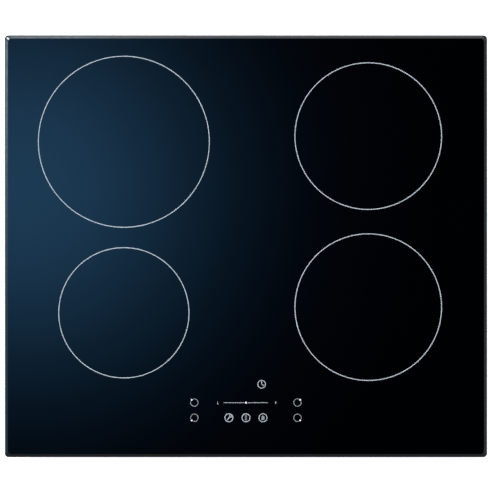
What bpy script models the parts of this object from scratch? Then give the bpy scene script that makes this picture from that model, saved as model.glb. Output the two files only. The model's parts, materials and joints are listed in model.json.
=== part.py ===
"""Built-in electric induction cooktop with four round zones.

A bevelled glass-ceramic panel is bonded to a sheet-steel frame.  A pressed steel tray hangs below
it and holds two power boards, a mains filter, two blowers and the touch electronics.  The coils sit
on two aluminium carriers that springs press up against the glass.  Swivelling clamps under the
tray's shelf grip the worktop, and a hinged cover closes the mains terminal box.

Metres.  X is the width, +Y the rear, +Z up.  The origin is under the middle, where the feet stand.
"""

import math

import bmesh
import bpy
from mathutils import Matrix, Vector

for leftover in list(bpy.data.objects):
    bpy.data.objects.remove(leftover, do_unlink=True)

# ---- overall sizes
GLASS_WIDTH = 0.590
GLASS_DEPTH = 0.516
HEIGHT = 0.056
GAP = 0.0003  # between pieces that touch

# ---- glass panel and what is bonded under it
GLASS_THICKNESS = 0.004
GLASS_CORNER = 0.005
BEVEL_WIDTH = 0.004
BEVEL_DROP = 0.0021
BEVEL_BREAK_WIDTH = 0.0015  # the outer, steeper facet of the bevel
BEVEL_BREAK_DROP = 0.0008
BEVEL_CORNER = 0.0045
ARRIS = 0.0005
SEAL_INSET = 0.004
SEAL_WIDTH = 0.008
SEAL_THICKNESS = 0.0017
FRAME_SHEET = 0.001
FRAME_LEG = 0.014
FRAME_FLANGE = 0.008

# ---- bottom housing, pressed from sheet
RIM_SIDE = 0.0185  # the glass reaches this far past the housing
RIM_END = 0.0165
SHEET = 0.001
HOUSING_CORNER = 0.012
SHELF_WIDTH = 0.038
WELL_CORNER = 0.018
WELL_DRAFT = 0.003
FOOT_HEIGHT = 0.004
FOOT_RADIUS = 0.012
FOOT_TAPER = 0.8
FOOT_INSET = 0.030
GRILLE_RADIUS = 0.037
GRILLE_PITCH = 0.0085
GRILLE_SLOT = 0.0045
EXHAUST_COUNT = 12
EXHAUST_PITCH = 0.011
EXHAUST_WIDTH = 0.0055
EXHAUST_ABOVE_TRAY = 0.001
EXHAUST_UNDER_SHELF = 0.004

# ---- zones: ring radius of each, and where the columns stand
ZONE_RADII = {
    "left_rear": 0.1045,
    "left_front": 0.0796,
    "right_rear": 0.0896,
    "right_front": 0.0896,
}
SIDE_MARGIN = {"left": 0.0413, "right": 0.0559}  # glass side to the column's widest ring
REAR_MARGIN = {"left": 0.0258, "right": 0.0338}  # glass rear edge to the rear ring
RING_SPACE = {"left": 0.0249, "right": 0.0298}  # between the two rings of a column
WINDING_INSET = 0.005  # the winding ends this far inside the printed ring
WINDING_EYE = 0.022
WINDING_THICKNESS = 0.0038
FORMER_THICKNESS = 0.002
FORMER_EYE = 0.0115
FERRITE_THICKNESS = 0.004
FERRITE_WIDTH = 0.012
FERRITE_BARS = 8
FERRITE_EYE = 0.0135
MICA_THICKNESS = 0.0005
MICA_PAST_WINDING = 0.003
SENSOR_RADIUS = 0.0075
SENSOR_CAP = 0.004
SENSOR_FLANGE = 0.003  # past the cap's radius
STEM_RADIUS = 0.005

# ---- coil carriers and springs
CARRIER_THICKNESS = 0.0016
CARRIER_CORNER = 0.010
CARRIER_WINDOW = 0.009
CARRIER_MARGIN = 0.008
CARRIER_INNER_MARGIN = 0.0146
CARRIER_CLEARANCE = 0.004
CARRIER_TRAVEL = 0.003
SPRING_LENGTH = 0.011
SPRING_RADIUS = 0.0048
SPRING_WIRE = 0.0006
SPRING_TURNS = 3
SPRING_STEPS = 7  # points in each turn
SPRING_FRONT_INSET = 0.020
SPRING_FROM_WELL = 0.008  # an outer spring's axis, out from the well's edge
POST_RADIUS = 0.007

# ---- electronics
AIR_GAP = 0.002  # left under the coil carriers when they are pressed down
TRAY_THICKNESS = 0.002
TRAY_RIM = 0.003
TRAY_CLEARANCE = 0.002
STANDOFF = 0.003
STANDOFF_RADIUS = 0.0035
BOARD_THICKNESS = 0.0016
POWER_BOARD_SIDE = 0.010  # from the well's side to the board
POWER_BOARD_FRONT = 0.050  # from the well's front to the board
BOARD_SPACE = 0.0175  # between a power board and the filter board
CHIP_HEIGHT = 0.004
SINK_WIDTH = 0.070
SINK_LENGTH = 0.140
SINK_BASE = 0.004
SINK_FINS = 9
FIN_THICKNESS = 0.0016
FILTER_BOARD_SIZE = (0.092, 0.160)
POST_INSET = 0.008  # a board's corner posts, in from its edges
PART_CLEARANCE = 0.002  # over the tall soldered parts
CHIP_HALF = (0.008, 0.010)
CHIP_ROWS = (-0.045, 0.0, 0.045)
CAPACITOR_ENDS = (0.045, 0.068)
CAPACITOR_HALF = 0.014
CAPACITOR_ROWS = (-0.070, -0.035, 0.045)
TRANSFORMER_FRONT_LEFT = (-0.074, -0.030)
TRANSFORMER_REAR_RIGHT = (-0.046, 0.028)
PLUG_ENDS = (-0.020, 0.030)
PLUG_HALF = 0.006
PLUG_HEIGHT = 0.009
PLUG_ROWS = (-0.100, 0.095)
CAN_X = -0.060
CAN_ROWS = (-0.070, 0.060)
CAN_RADIUS = 0.011
FILTER_CASE_X = 0.018
FILTER_CASE_HALF = 0.013
FILTER_CASE_ENDS = (-0.045, -0.022)
FILTER_CASE_HEIGHT = 0.015
MAINS_PLUG_HALF = 0.030
MAINS_PLUG_ENDS = (0.060, 0.072)
MAINS_PLUG_HEIGHT = 0.010
FEED_PLUG_HALF = 0.024
FEED_PLUG_ENDS = (-0.074, -0.064)
FEED_PLUG_HEIGHT = 0.008
CHOKE_EDGE = 0.003
CHOKE_REAR = 0.020  # behind the filter board's middle
CHOKE_RADIUS = 0.019
CHOKE_EYE = 0.008
CHOKE_HEIGHT = 0.016

# ---- blowers
FAN_FROM_REAR = 0.0635
FAN_RADIUS = 0.048
FAN_WALL = 0.002
FAN_MOUTH = 0.030
FAN_OUTLET_WIDTH = 0.052
FAN_OUTLET_REACH = 0.055
DUCT_SPACE = 0.0085  # between a blower's outlet and its power board
IMPELLER_RADIUS = 0.038
IMPELLER_CLEARANCE = 0.0015
BLADES = 12
BLADE_THICKNESS = 0.001
BLADE_DEPTH = 0.013
HUB_RADIUS = 0.012
BLADE_LEAN = 35  # degrees
BLADE_PLACE = 0.55  # of a blade's depth, in from the impeller's edge
IMPELLER_PLATE = 0.0015
SPINDLE_RADIUS = 0.0015
SPINDLE_CLEARANCE = 0.0003

# ---- touch controls
TOUCH_WIDTH = 0.170
TOUCH_DEPTH = 0.0542
TOUCH_WALL = 0.0015
TOUCH_CORNER = 0.004
TOUCH_CLEARANCE = 0.002
TOUCH_DEPTH_UNDER_GLASS = 0.011
TOUCH_BOARD_DROP = 0.0055
TOUCH_LEG_RADIUS = 0.004
LEG_FROM_SIDE = 0.008
LEG_FROM_FRONT = 0.009
LEG_FROM_REAR = 0.006
KEY_RADIUS = 0.0035
KEY_ROW_FRONT = 0.0484  # glass front edge to the front row of touch keys
KEY_ROW_REAR = 0.0668
KEY_PITCH = 0.0209
SELECT_KEY_X = 0.063
SLIDER_HALF = 0.027
SLIDER_PADS = 5

# ---- mains terminal box under the rear shelf
BOX_WIDTH = 0.110
BOX_WALL = 0.002
BOX_FRONT_GAP = 0.001
BOX_REAR_INSET = 0.004
BOX_FLOOR = 0.0055
COVER_THICKNESS = 0.0025
HINGE_RADIUS = 0.0022
HINGE_PIN = 0.0009
HINGE_CLEARANCE = 0.0003
HINGE_BEHIND = 0.0025
LID_REAR_GAP = 0.0015
HINGE_LENGTH = 0.016
EAR_LENGTH = 0.003
INLET_WIDTH = 0.014
INLET_TOP = 0.022
WIRE_HOLE = 0.006
BLOCK_WIDTH = 0.073
BLOCK_POLES = 5
BLOCK_HALF_DEPTH = 0.0085
BOX_END_SPACE = 0.008  # from an end wall to the terminal block, or to the cable clamp
SCREW_WELL_RADIUS = 0.0028
SCREW_WELL_DEPTH = 0.005
WIRE_ENTRY_RADIUS = 0.0022
WIRE_ENTRY_RISE = 0.0075
WIRING_HEIGHT = 0.006  # left between the terminal block and the cover
CABLE_RADIUS = 0.006
CLAMP_BAR_WIDTH = 0.010
CLAMP_BAR_HEIGHT = 0.005
CLAMP_BAR_RISE = 0.002

# ---- worktop clamps
CLAMP_FROM_END = 0.1215
CLAMP_ARM = 0.045
CLAMP_HALF_WIDTH = 0.008
CLAMP_SHEET = 0.002
CLAMP_DROP = 0.006
CLAMP_LIP = 0.002
SCREW_RADIUS = 0.002
SCREW_HEAD_RADIUS = 0.005
SCREW_HEAD = 0.003
SCREW_PAST_SHELF = 0.003
RUNNING_GAP = 0.0004

PLATE_SIZE = (0.075, 0.040, 0.0005)
PLATE_CORNER = 0.002
PLATE_PLACE = 0.45  # of the way from the middle to the well's front

# ---- levels, from the glass down
GLASS_UNDER = HEIGHT - GLASS_THICKNESS
BOND_TOP = GLASS_UNDER - GAP
MICA_UNDER = BOND_TOP - MICA_THICKNESS
WINDING_TOP = MICA_UNDER - GAP
WINDING_UNDER = WINDING_TOP - WINDING_THICKNESS
FORMER_TOP = WINDING_UNDER - GAP
FORMER_UNDER = FORMER_TOP - FORMER_THICKNESS
FERRITE_TOP = FORMER_UNDER - GAP
FERRITE_UNDER = FERRITE_TOP - FERRITE_THICKNESS
CARRIER_TOP = FERRITE_UNDER - GAP
CARRIER_UNDER = CARRIER_TOP - CARRIER_THICKNESS
SHELF_TOP = CARRIER_UNDER - SPRING_LENGTH - 2 * GAP
SHELF_UNDER = SHELF_TOP - SHEET
ELECTRONICS_TOP = CARRIER_UNDER - CARRIER_TRAVEL - AIR_GAP

# ---- levels, from the feet up
FLOOR_UNDER = FOOT_HEIGHT
FLOOR_TOP = FLOOR_UNDER + SHEET
TRAY_UNDER = FLOOR_TOP + GAP
TRAY_TOP = TRAY_UNDER + TRAY_THICKNESS
BOARD_UNDER = TRAY_TOP + STANDOFF + GAP
BOARD_TOP = BOARD_UNDER + BOARD_THICKNESS
SINK_UNDER = BOARD_TOP + CHIP_HEIGHT + GAP
FAN_UNDER = TRAY_TOP + GAP

# ---- plan of the housing
HOUSING_X = GLASS_WIDTH / 2 - RIM_SIDE
HOUSING_Y = GLASS_DEPTH / 2 - RIM_END
WELL_X = HOUSING_X - SHELF_WIDTH
WELL_Y = HOUSING_Y - SHELF_WIDTH
FRAME_INSET = SHEET + GAP
FLANGE_Y = HOUSING_Y - FRAME_INSET - FRAME_FLANGE
CARRIER_X = HOUSING_X - FRAME_INSET - FRAME_SHEET - CARRIER_CLEARANCE
CARRIER_Y = HOUSING_Y - FRAME_INSET - FRAME_SHEET - CARRIER_CLEARANCE
FAN_Y = WELL_Y - FAN_FROM_REAR
POWER_BOARD_SIZE = (
    WELL_X - POWER_BOARD_SIDE - FILTER_BOARD_SIZE[0] / 2 - BOARD_SPACE,
    FAN_Y - FAN_OUTLET_REACH - DUCT_SPACE + WELL_Y - POWER_BOARD_FRONT,
)
FAN_X = WELL_X - POWER_BOARD_SIDE - POWER_BOARD_SIZE[0] / 2
POST_X = FILTER_BOARD_SIZE[0] / 2 + BOARD_SPACE / 2
CLAMP_X = HOUSING_X - SHELF_WIDTH / 2
CLAMP_Y = HOUSING_Y - CLAMP_FROM_END
SHELF_MIDDLE_Y = HOUSING_Y - SHELF_WIDTH / 2
SIDES = {"left": -1, "right": 1}
ENDS = {"rear": 1, "front": -1}

CORNER_STEPS = 4
SLOT_STEPS = 2
ROUND = 24
SMALL_ROUND = 10


# ---- materials
def finish(name, colour, roughness, metallic=0.0):
    """A Principled material, made once."""
    material = bpy.data.materials.get(name)
    if material is None:
        material = bpy.data.materials.new(name)
        material.use_nodes = True
        shader = material.node_tree.nodes["Principled BSDF"]
        shader.inputs["Base Color"].default_value = (*colour, 1.0)
        shader.inputs["Roughness"].default_value = roughness
        shader.inputs["Metallic"].default_value = metallic
    return material


def black_glass():
    return finish("black_glass", (0.004, 0.006, 0.009), 0.06)


def foam():
    return finish("foam", (0.03, 0.03, 0.03), 0.95)


def galvanised():
    return finish("galvanised", (0.55, 0.56, 0.57), 0.42, 1.0)


def aluminium():
    return finish("aluminium", (0.72, 0.73, 0.74), 0.35, 1.0)


def copper():
    return finish("copper", (0.60, 0.28, 0.13), 0.40, 1.0)


def ferrite_grey():
    return finish("ferrite_grey", (0.07, 0.07, 0.075), 0.70)


def mica():
    return finish("mica", (0.45, 0.40, 0.30), 0.60)


def former_plastic():
    return finish("former_plastic", (0.78, 0.76, 0.70), 0.55)


def black_plastic():
    return finish("black_plastic", (0.02, 0.02, 0.022), 0.50)


def grey_plastic():
    return finish("grey_plastic", (0.30, 0.31, 0.32), 0.50)


def board_green():
    return finish("board_green", (0.02, 0.16, 0.07), 0.45)


def silicone():
    return finish("silicone", (0.75, 0.74, 0.70), 0.70)


def spring_steel():
    return finish("spring_steel", (0.50, 0.50, 0.52), 0.30, 1.0)


def label_foil():
    return finish("label_foil", (0.75, 0.76, 0.77), 0.35)


# ---- modelling helpers
def place(name, bm, material, location=(0, 0, 0), turn=0.0):
    """Ends a bmesh as a named object."""
    bmesh.ops.recalc_face_normals(bm, faces=bm.faces)
    mesh = bpy.data.meshes.new(name)
    bm.to_mesh(mesh)
    bm.free()
    mesh.shade_smooth()
    mesh.set_sharp_from_angle(angle=math.radians(35))
    mesh.materials.append(material)
    obj = bpy.data.objects.new(name, mesh)
    obj.location = location
    obj.rotation_euler = (0, 0, turn)
    bpy.context.scene.collection.objects.link(obj)
    return obj


def tool(name, bm, location=(0, 0, 0), turn=0.0):
    """A hidden body that another object is cut with or joined to."""
    obj = place(name, bm, grey_plastic(), location, turn)
    obj.hide_render = True
    obj.display_type = "WIRE"
    return obj


def combine(obj, other, operation):
    modifier = obj.modifiers.new(other.name, "BOOLEAN")
    modifier.operation = operation
    modifier.solver = "EXACT"
    modifier.object = other


def rounded_outline(half_x, half_y, radius, centre=(0, 0), steps=CORNER_STEPS):
    """Counter-clockwise points of a rectangle with round corners."""
    points = []
    for quarter, (side, end) in enumerate(((1, -1), (1, 1), (-1, 1), (-1, -1))):
        for step in range(steps + 1):
            angle = math.radians(90 * (quarter - 1 + step / steps))
            x = centre[0] + side * (half_x - radius) + radius * math.cos(angle)
            y = centre[1] + end * (half_y - radius) + radius * math.sin(angle)
            points.append((x, y))
    return points


def inset_outline(half_x, half_y, radius, inset):
    """The same rectangle drawn in by an inset, with corners that stay round."""
    return rounded_outline(half_x - inset, half_y - inset, max(radius - inset, 0.002))


def join_loops(bm, lower, upper):
    for i in range(len(lower)):
        bm.faces.new((lower[i - 1], lower[i], upper[i], upper[i - 1]))


def loft(bm, sections, closed=False):
    """Skins a row of (outline, z) sections, capped at both ends or closed into a ring."""
    loops = [[bm.verts.new((x, y, z)) for x, y in outline] for outline, z in sections]
    for lower, upper in zip(loops, loops[1:]):
        join_loops(bm, lower, upper)
    if closed:
        join_loops(bm, loops[-1], loops[0])
    else:
        bm.faces.new(loops[0])
        bm.faces.new(loops[-1])


def add_box(bm, low, high):
    low, high = Vector(low), Vector(high)
    size = Matrix.Diagonal((*(high - low), 1))
    bmesh.ops.create_cube(bm, size=1, matrix=Matrix.Translation((low + high) / 2) @ size)


def add_post(bm, x, y, low, high, radius, segments=SMALL_ROUND):
    bmesh.ops.create_cone(
        bm, cap_ends=True, segments=segments, radius1=radius, radius2=radius, depth=high - low,
        matrix=Matrix.Translation((x, y, (low + high) / 2)))


def add_rod(bm, start, end, radius, segments=SMALL_ROUND):
    start, end = Vector(start), Vector(end)
    aim = (end - start).to_track_quat("Z", "Y").to_matrix().to_4x4()
    bmesh.ops.create_cone(
        bm, cap_ends=True, segments=segments, radius1=radius, radius2=radius,
        depth=(end - start).length, matrix=Matrix.Translation((start + end) / 2) @ aim)


def turned(bm, profile, segments=ROUND):
    """Spins (radius, z) points about Z: a closed section, or one that starts and ends on the axis."""
    verts = [bm.verts.new((radius, 0, z)) for radius, z in profile]
    edges = [bm.edges.new(pair) for pair in zip(verts, verts[1:])]
    if profile[0][0] > 0:
        edges.append(bm.edges.new((verts[-1], verts[0])))
    bmesh.ops.spin(
        bm, geom=verts + edges, cent=(0, 0, 0), axis=(0, 0, 1), angle=2 * math.pi, steps=segments,
        use_merge=True)
    bmesh.ops.remove_doubles(bm, verts=bm.verts, dist=1e-6)


def ring_section(inner, outer, low, high):
    return [(inner, low), (outer, low), (outer, high), (inner, high)]


def extruded(bm, outline, low, high):
    """An outline in plan, given a height."""
    loft(bm, [(outline, low), (outline, high)])


# ---- where the zones are
def zone_centre(zone):
    side, end = zone.split("_")
    widest = max(ZONE_RADII[f"{side}_rear"], ZONE_RADII[f"{side}_front"])
    x = SIDES[side] * (GLASS_WIDTH / 2 - SIDE_MARGIN[side] - widest)
    rear = GLASS_DEPTH / 2 - REAR_MARGIN[side] - ZONE_RADII[f"{side}_rear"]
    if end == "rear":
        return x, rear
    pitch = ZONE_RADII[f"{side}_rear"] + RING_SPACE[side] + ZONE_RADII[f"{side}_front"]
    return x, rear - pitch


def carrier_inner_x(side):
    """How far from the middle a carrier's inner edge stands: past the rings and the spring posts."""
    widest = max(ZONE_RADII[f"{side}_rear"], ZONE_RADII[f"{side}_front"])
    past_rings = GLASS_WIDTH / 2 - SIDE_MARGIN[side] - 2 * widest - CARRIER_INNER_MARGIN
    return min(past_rings, POST_X - POST_RADIUS)


def carrier_front_y(side):
    return zone_centre(f"{side}_front")[1] - ZONE_RADII[f"{side}_front"] - CARRIER_MARGIN


def spring_places(side):
    """Each spring's corner, x and y: on the shelf, or on a tray post between two boards."""
    outer_x = SIDES[side] * (WELL_X + SPRING_FROM_WELL)
    inner_x = SIDES[side] * POST_X
    front_y = carrier_front_y(side) + SPRING_FRONT_INSET
    return {
        "outer_rear": (outer_x, SHELF_MIDDLE_Y),
        "outer_front": (outer_x, front_y),
        "inner_rear": (inner_x, SHELF_MIDDLE_Y),
        "inner_front": (inner_x, front_y),
    }


# ---- top: glass, seal and frame
def glass_panel():
    half_x, half_y = GLASS_WIDTH / 2, GLASS_DEPTH / 2
    bm = bmesh.new()
    break_corner = GLASS_CORNER - BEVEL_BREAK_WIDTH / 4
    loft(bm, [
        (inset_outline(half_x, half_y, GLASS_CORNER, ARRIS), GLASS_UNDER),
        (rounded_outline(half_x, half_y, GLASS_CORNER), GLASS_UNDER + ARRIS),
        (rounded_outline(half_x, half_y, GLASS_CORNER), HEIGHT - BEVEL_DROP),
        (rounded_outline(half_x - BEVEL_BREAK_WIDTH, half_y - BEVEL_BREAK_WIDTH, break_corner),
         HEIGHT - BEVEL_BREAK_DROP),
        (rounded_outline(half_x - BEVEL_WIDTH, half_y - BEVEL_WIDTH, BEVEL_CORNER), HEIGHT),
    ])
    place("glass_panel", bm, black_glass())


def panel_seal():
    half_x, half_y = GLASS_WIDTH / 2 - SEAL_INSET, GLASS_DEPTH / 2 - SEAL_INSET
    low, high = BOND_TOP - SEAL_THICKNESS, BOND_TOP
    outer = rounded_outline(half_x, half_y, GLASS_CORNER)
    inner = rounded_outline(half_x - SEAL_WIDTH, half_y - SEAL_WIDTH, GLASS_CORNER)
    bm = bmesh.new()
    loft(bm, [(outer, low), (outer, high), (inner, high), (inner, low)], closed=True)
    place("panel_seal", bm, foam())


def support_frame():
    """An angle-section ring: its flange is bonded under the glass, its leg lines the housing wall."""
    def outline(inset):
        return inset_outline(HOUSING_X, HOUSING_Y, HOUSING_CORNER, FRAME_INSET + inset)

    top, under = BOND_TOP, BOND_TOP - FRAME_SHEET
    bm = bmesh.new()
    loft(bm, [
        (outline(0), BOND_TOP - FRAME_LEG),
        (outline(0), top),
        (outline(FRAME_FLANGE), top),
        (outline(FRAME_FLANGE), under),
        (outline(FRAME_SHEET), under),
        (outline(FRAME_SHEET), BOND_TOP - FRAME_LEG),
    ], closed=True)
    place("support_frame", bm, galvanised())


# ---- bottom housing
def housing_skin(bm):
    def wall(inset):
        return inset_outline(HOUSING_X, HOUSING_Y, HOUSING_CORNER, inset)

    def well(inset):
        return inset_outline(WELL_X, WELL_Y, WELL_CORNER, inset)

    loft(bm, [
        (well(WELL_DRAFT), FLOOR_UNDER),
        (well(0), SHELF_UNDER),
        (wall(0), SHELF_UNDER),
        (wall(0), BOND_TOP),
        (wall(SHEET), BOND_TOP),
        (wall(SHEET), SHELF_TOP),
        (well(SHEET), SHELF_TOP),
        (well(WELL_DRAFT + SHEET), FLOOR_TOP),
    ])


def housing_feet():
    bm = bmesh.new()
    for side in (-1, 1):
        for end in (-1, 1):
            x, y = side * (WELL_X - FOOT_INSET), end * (WELL_Y - FOOT_INSET)
            bmesh.ops.create_cone(
                bm, cap_ends=True, segments=16, radius1=FOOT_RADIUS * FOOT_TAPER, radius2=FOOT_RADIUS,
                depth=FLOOR_UNDER + SHEET / 2,
                matrix=Matrix.Translation((x, y, (FLOOR_UNDER + SHEET / 2) / 2)))
    return tool("housing_feet", bm)


def intake_slots():
    """Parallel slots that fill a circle under each blower."""
    rows = int(GRILLE_RADIUS / GRILLE_PITCH)
    bm = bmesh.new()
    for side in (-1, 1):
        for row in range(-rows, rows + 1):
            off = row * GRILLE_PITCH
            half = math.sqrt(GRILLE_RADIUS ** 2 - off ** 2)
            outline = rounded_outline(
                GRILLE_SLOT / 2, half, GRILLE_SLOT / 2 * 0.96, (side * FAN_X + off, FAN_Y),
                SLOT_STEPS)
            extruded(bm, outline, FLOOR_UNDER - SHEET, FLOOR_TOP + SHEET)
    return tool("intake_slots", bm)


def exhaust_slots():
    """Upright slots in the front of the well, ahead of each heat sink."""
    low = FLOOR_TOP + TRAY_THICKNESS + TRAY_RIM + EXHAUST_ABOVE_TRAY
    high = SHELF_UNDER - EXHAUST_UNDER_SHELF
    bm = bmesh.new()
    for side in (-1, 1):
        for number in range(EXHAUST_COUNT):
            x = side * FAN_X + (number - (EXHAUST_COUNT - 1) / 2) * EXHAUST_PITCH
            add_box(
                bm, (x - EXHAUST_WIDTH / 2, -WELL_Y - SHEET, low),
                (x + EXHAUST_WIDTH / 2, -WELL_Y + WELL_DRAFT + 2 * SHEET, high))
    return tool("exhaust_slots", bm)


def clamp_holes():
    bm = bmesh.new()
    for side in (-1, 1):
        for end in (-1, 1):
            add_post(
                bm, side * CLAMP_X, end * CLAMP_Y, SHELF_UNDER - SHEET, SHELF_TOP + SHEET,
                SCREW_RADIUS + RUNNING_GAP)
    return tool("clamp_holes", bm)


def wire_hole(name):
    """The way of the mains wires from the terminal box into the well."""
    z = (BOX_FLOOR + SHELF_UNDER) / 2
    bm = bmesh.new()
    rear = WELL_Y + BOX_FRONT_GAP + BOX_WALL + SHEET
    add_rod(bm, (0, WELL_Y - WELL_DRAFT - 3 * SHEET, z), (0, rear, z), WIRE_HOLE, 16)
    return tool(name, bm)


def bottom_housing():
    bm = bmesh.new()
    housing_skin(bm)
    housing = place("bottom_housing", bm, galvanised())
    combine(housing, housing_feet(), "UNION")
    combine(housing, intake_slots(), "DIFFERENCE")
    combine(housing, exhaust_slots(), "DIFFERENCE")
    combine(housing, clamp_holes(), "DIFFERENCE")
    combine(housing, wire_hole("housing_wire_hole"), "DIFFERENCE")


# ---- insulating tray and its posts
def power_board_middle(side):
    return SIDES[side] * FAN_X, -WELL_Y + POWER_BOARD_FRONT + POWER_BOARD_SIZE[1] / 2


def board_corners(middle, size, inset=POST_INSET):
    return [
        (middle[0] + sx * (size[0] / 2 - inset), middle[1] + sy * (size[1] / 2 - inset))
        for sx in (-1, 1) for sy in (-1, 1)]


def filter_board_middle():
    return 0, power_board_middle("left")[1]


def insulating_tray():
    def outline(inset):
        return inset_outline(
            WELL_X - SHEET - WELL_DRAFT, WELL_Y - SHEET - WELL_DRAFT, WELL_CORNER,
            TRAY_CLEARANCE + inset)

    bm = bmesh.new()
    loft(bm, [
        (outline(0), TRAY_UNDER),
        (outline(0), TRAY_TOP + TRAY_RIM),
        (outline(TRAY_THICKNESS), TRAY_TOP + TRAY_RIM),
        (outline(TRAY_THICKNESS), TRAY_TOP),
    ])
    tray = place("insulating_tray", bm, black_plastic())
    posts = bmesh.new()
    root = TRAY_TOP - TRAY_THICKNESS / 2
    boards = [(power_board_middle(side), POWER_BOARD_SIZE) for side in SIDES]
    boards.append((filter_board_middle(), FILTER_BOARD_SIZE))
    for middle, size in boards:
        for x, y in board_corners(middle, size):
            add_post(posts, x, y, root, TRAY_TOP + STANDOFF, STANDOFF_RADIUS, 8)
    for side in SIDES:
        x, y = spring_places(side)["inner_front"]
        add_post(posts, x, y, root, SHELF_TOP, POST_RADIUS)
    combine(tray, tool("tray_posts", posts), "UNION")
    mouths = bmesh.new()
    for side in (-1, 1):
        add_post(
            mouths, side * FAN_X, FAN_Y, TRAY_UNDER - SHEET, TRAY_TOP + SHEET,
            GRILLE_RADIUS + TRAY_CLEARANCE, ROUND)
    combine(tray, tool("tray_mouths", mouths), "DIFFERENCE")


# ---- boards and heat sinks
def power_board(side):
    """The board with its soldered parts, in the left hand's order, seen from above."""
    middle = power_board_middle(side)
    half_x, half_y = POWER_BOARD_SIZE[0] / 2, POWER_BOARD_SIZE[1] / 2
    bm = bmesh.new()
    add_box(bm, (-half_x, -half_y, BOARD_UNDER), (half_x, half_y, BOARD_TOP))
    board = place(f"power_board_{side}", bm, board_green(), (*middle, 0))
    parts = bmesh.new()
    root = BOARD_TOP - BOARD_THICKNESS / 2
    for y in CHIP_ROWS:
        add_box(
            parts, (-CHIP_HALF[0], y - CHIP_HALF[1], root),
            (CHIP_HALF[0], y + CHIP_HALF[1], BOARD_TOP + CHIP_HEIGHT))
    top = ELECTRONICS_TOP - PART_CLEARANCE
    for y in CAPACITOR_ROWS:
        add_box(
            parts, (CAPACITOR_ENDS[0], y - CAPACITOR_HALF, root),
            (CAPACITOR_ENDS[1], y + CAPACITOR_HALF, top))
    add_box(parts, (*TRANSFORMER_FRONT_LEFT, root), (*TRANSFORMER_REAR_RIGHT, top))
    for y in PLUG_ROWS:
        add_box(
            parts, (PLUG_ENDS[0], y - PLUG_HALF, root),
            (PLUG_ENDS[1], y + PLUG_HALF, BOARD_TOP + PLUG_HEIGHT))
    for y in CAN_ROWS:
        add_post(parts, CAN_X, y, root, top, CAN_RADIUS, 14)
    combine(board, tool(f"power_parts_{side}", parts, (*middle, 0)), "UNION")


def heat_sink(side):
    """A comb section, extruded along the air stream."""
    pitch = (SINK_WIDTH - FIN_THICKNESS) / (SINK_FINS - 1)
    section = [(SINK_WIDTH / 2, SINK_UNDER)]
    for fin in reversed(range(SINK_FINS)):
        left = -SINK_WIDTH / 2 + fin * pitch
        right = left + FIN_THICKNESS
        if fin < SINK_FINS - 1:
            section.append((right, SINK_UNDER + SINK_BASE))
        section += [(right, ELECTRONICS_TOP), (left, ELECTRONICS_TOP)]
        if fin:
            section.append((left, SINK_UNDER + SINK_BASE))
    section.append((-SINK_WIDTH / 2, SINK_UNDER))
    bm = bmesh.new()
    verts = [bm.verts.new((x, -SINK_LENGTH / 2, z)) for x, z in section]
    face = bm.faces.new(verts)
    grown = bmesh.ops.extrude_face_region(bm, geom=[face])
    moved = [item for item in grown["geom"] if isinstance(item, bmesh.types.BMVert)]
    bmesh.ops.translate(bm, verts=moved, vec=(0, SINK_LENGTH, 0))
    place(f"heat_sink_{side}", bm, aluminium(), (*power_board_middle(side), 0))


def filter_board():
    half_x, half_y = FILTER_BOARD_SIZE[0] / 2, FILTER_BOARD_SIZE[1] / 2
    bm = bmesh.new()
    add_box(bm, (-half_x, -half_y, BOARD_UNDER), (half_x, half_y, BOARD_TOP))
    board = place("filter_board", bm, board_green(), (*filter_board_middle(), 0))
    parts = bmesh.new()
    root = BOARD_TOP - BOARD_THICKNESS / 2
    for x in (-FILTER_CASE_X, FILTER_CASE_X):
        add_box(
            parts, (x - FILTER_CASE_HALF, FILTER_CASE_ENDS[0], root),
            (x + FILTER_CASE_HALF, FILTER_CASE_ENDS[1], BOARD_TOP + FILTER_CASE_HEIGHT))
    add_box(
        parts, (-MAINS_PLUG_HALF, MAINS_PLUG_ENDS[0], root),
        (MAINS_PLUG_HALF, MAINS_PLUG_ENDS[1], BOARD_TOP + MAINS_PLUG_HEIGHT))
    add_box(
        parts, (-FEED_PLUG_HALF, FEED_PLUG_ENDS[0], root),
        (FEED_PLUG_HALF, FEED_PLUG_ENDS[1], BOARD_TOP + FEED_PLUG_HEIGHT))
    combine(board, tool("filter_parts", parts, (*filter_board_middle(), 0)), "UNION")


def filter_choke():
    """A wound ring core lying on the filter board."""
    low, edge = BOARD_TOP + GAP, CHOKE_EDGE
    high = low + CHOKE_HEIGHT
    bm = bmesh.new()
    turned(bm, [
        (CHOKE_EYE + edge, low), (CHOKE_RADIUS - edge, low), (CHOKE_RADIUS, low + edge),
        (CHOKE_RADIUS, high - edge), (CHOKE_RADIUS - edge, high), (CHOKE_EYE + edge, high),
        (CHOKE_EYE, high - edge), (CHOKE_EYE, low + edge)], 20)
    middle = filter_board_middle()
    place("filter_choke", bm, copper(), (middle[0], middle[1] + CHOKE_REAR, 0))


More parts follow.
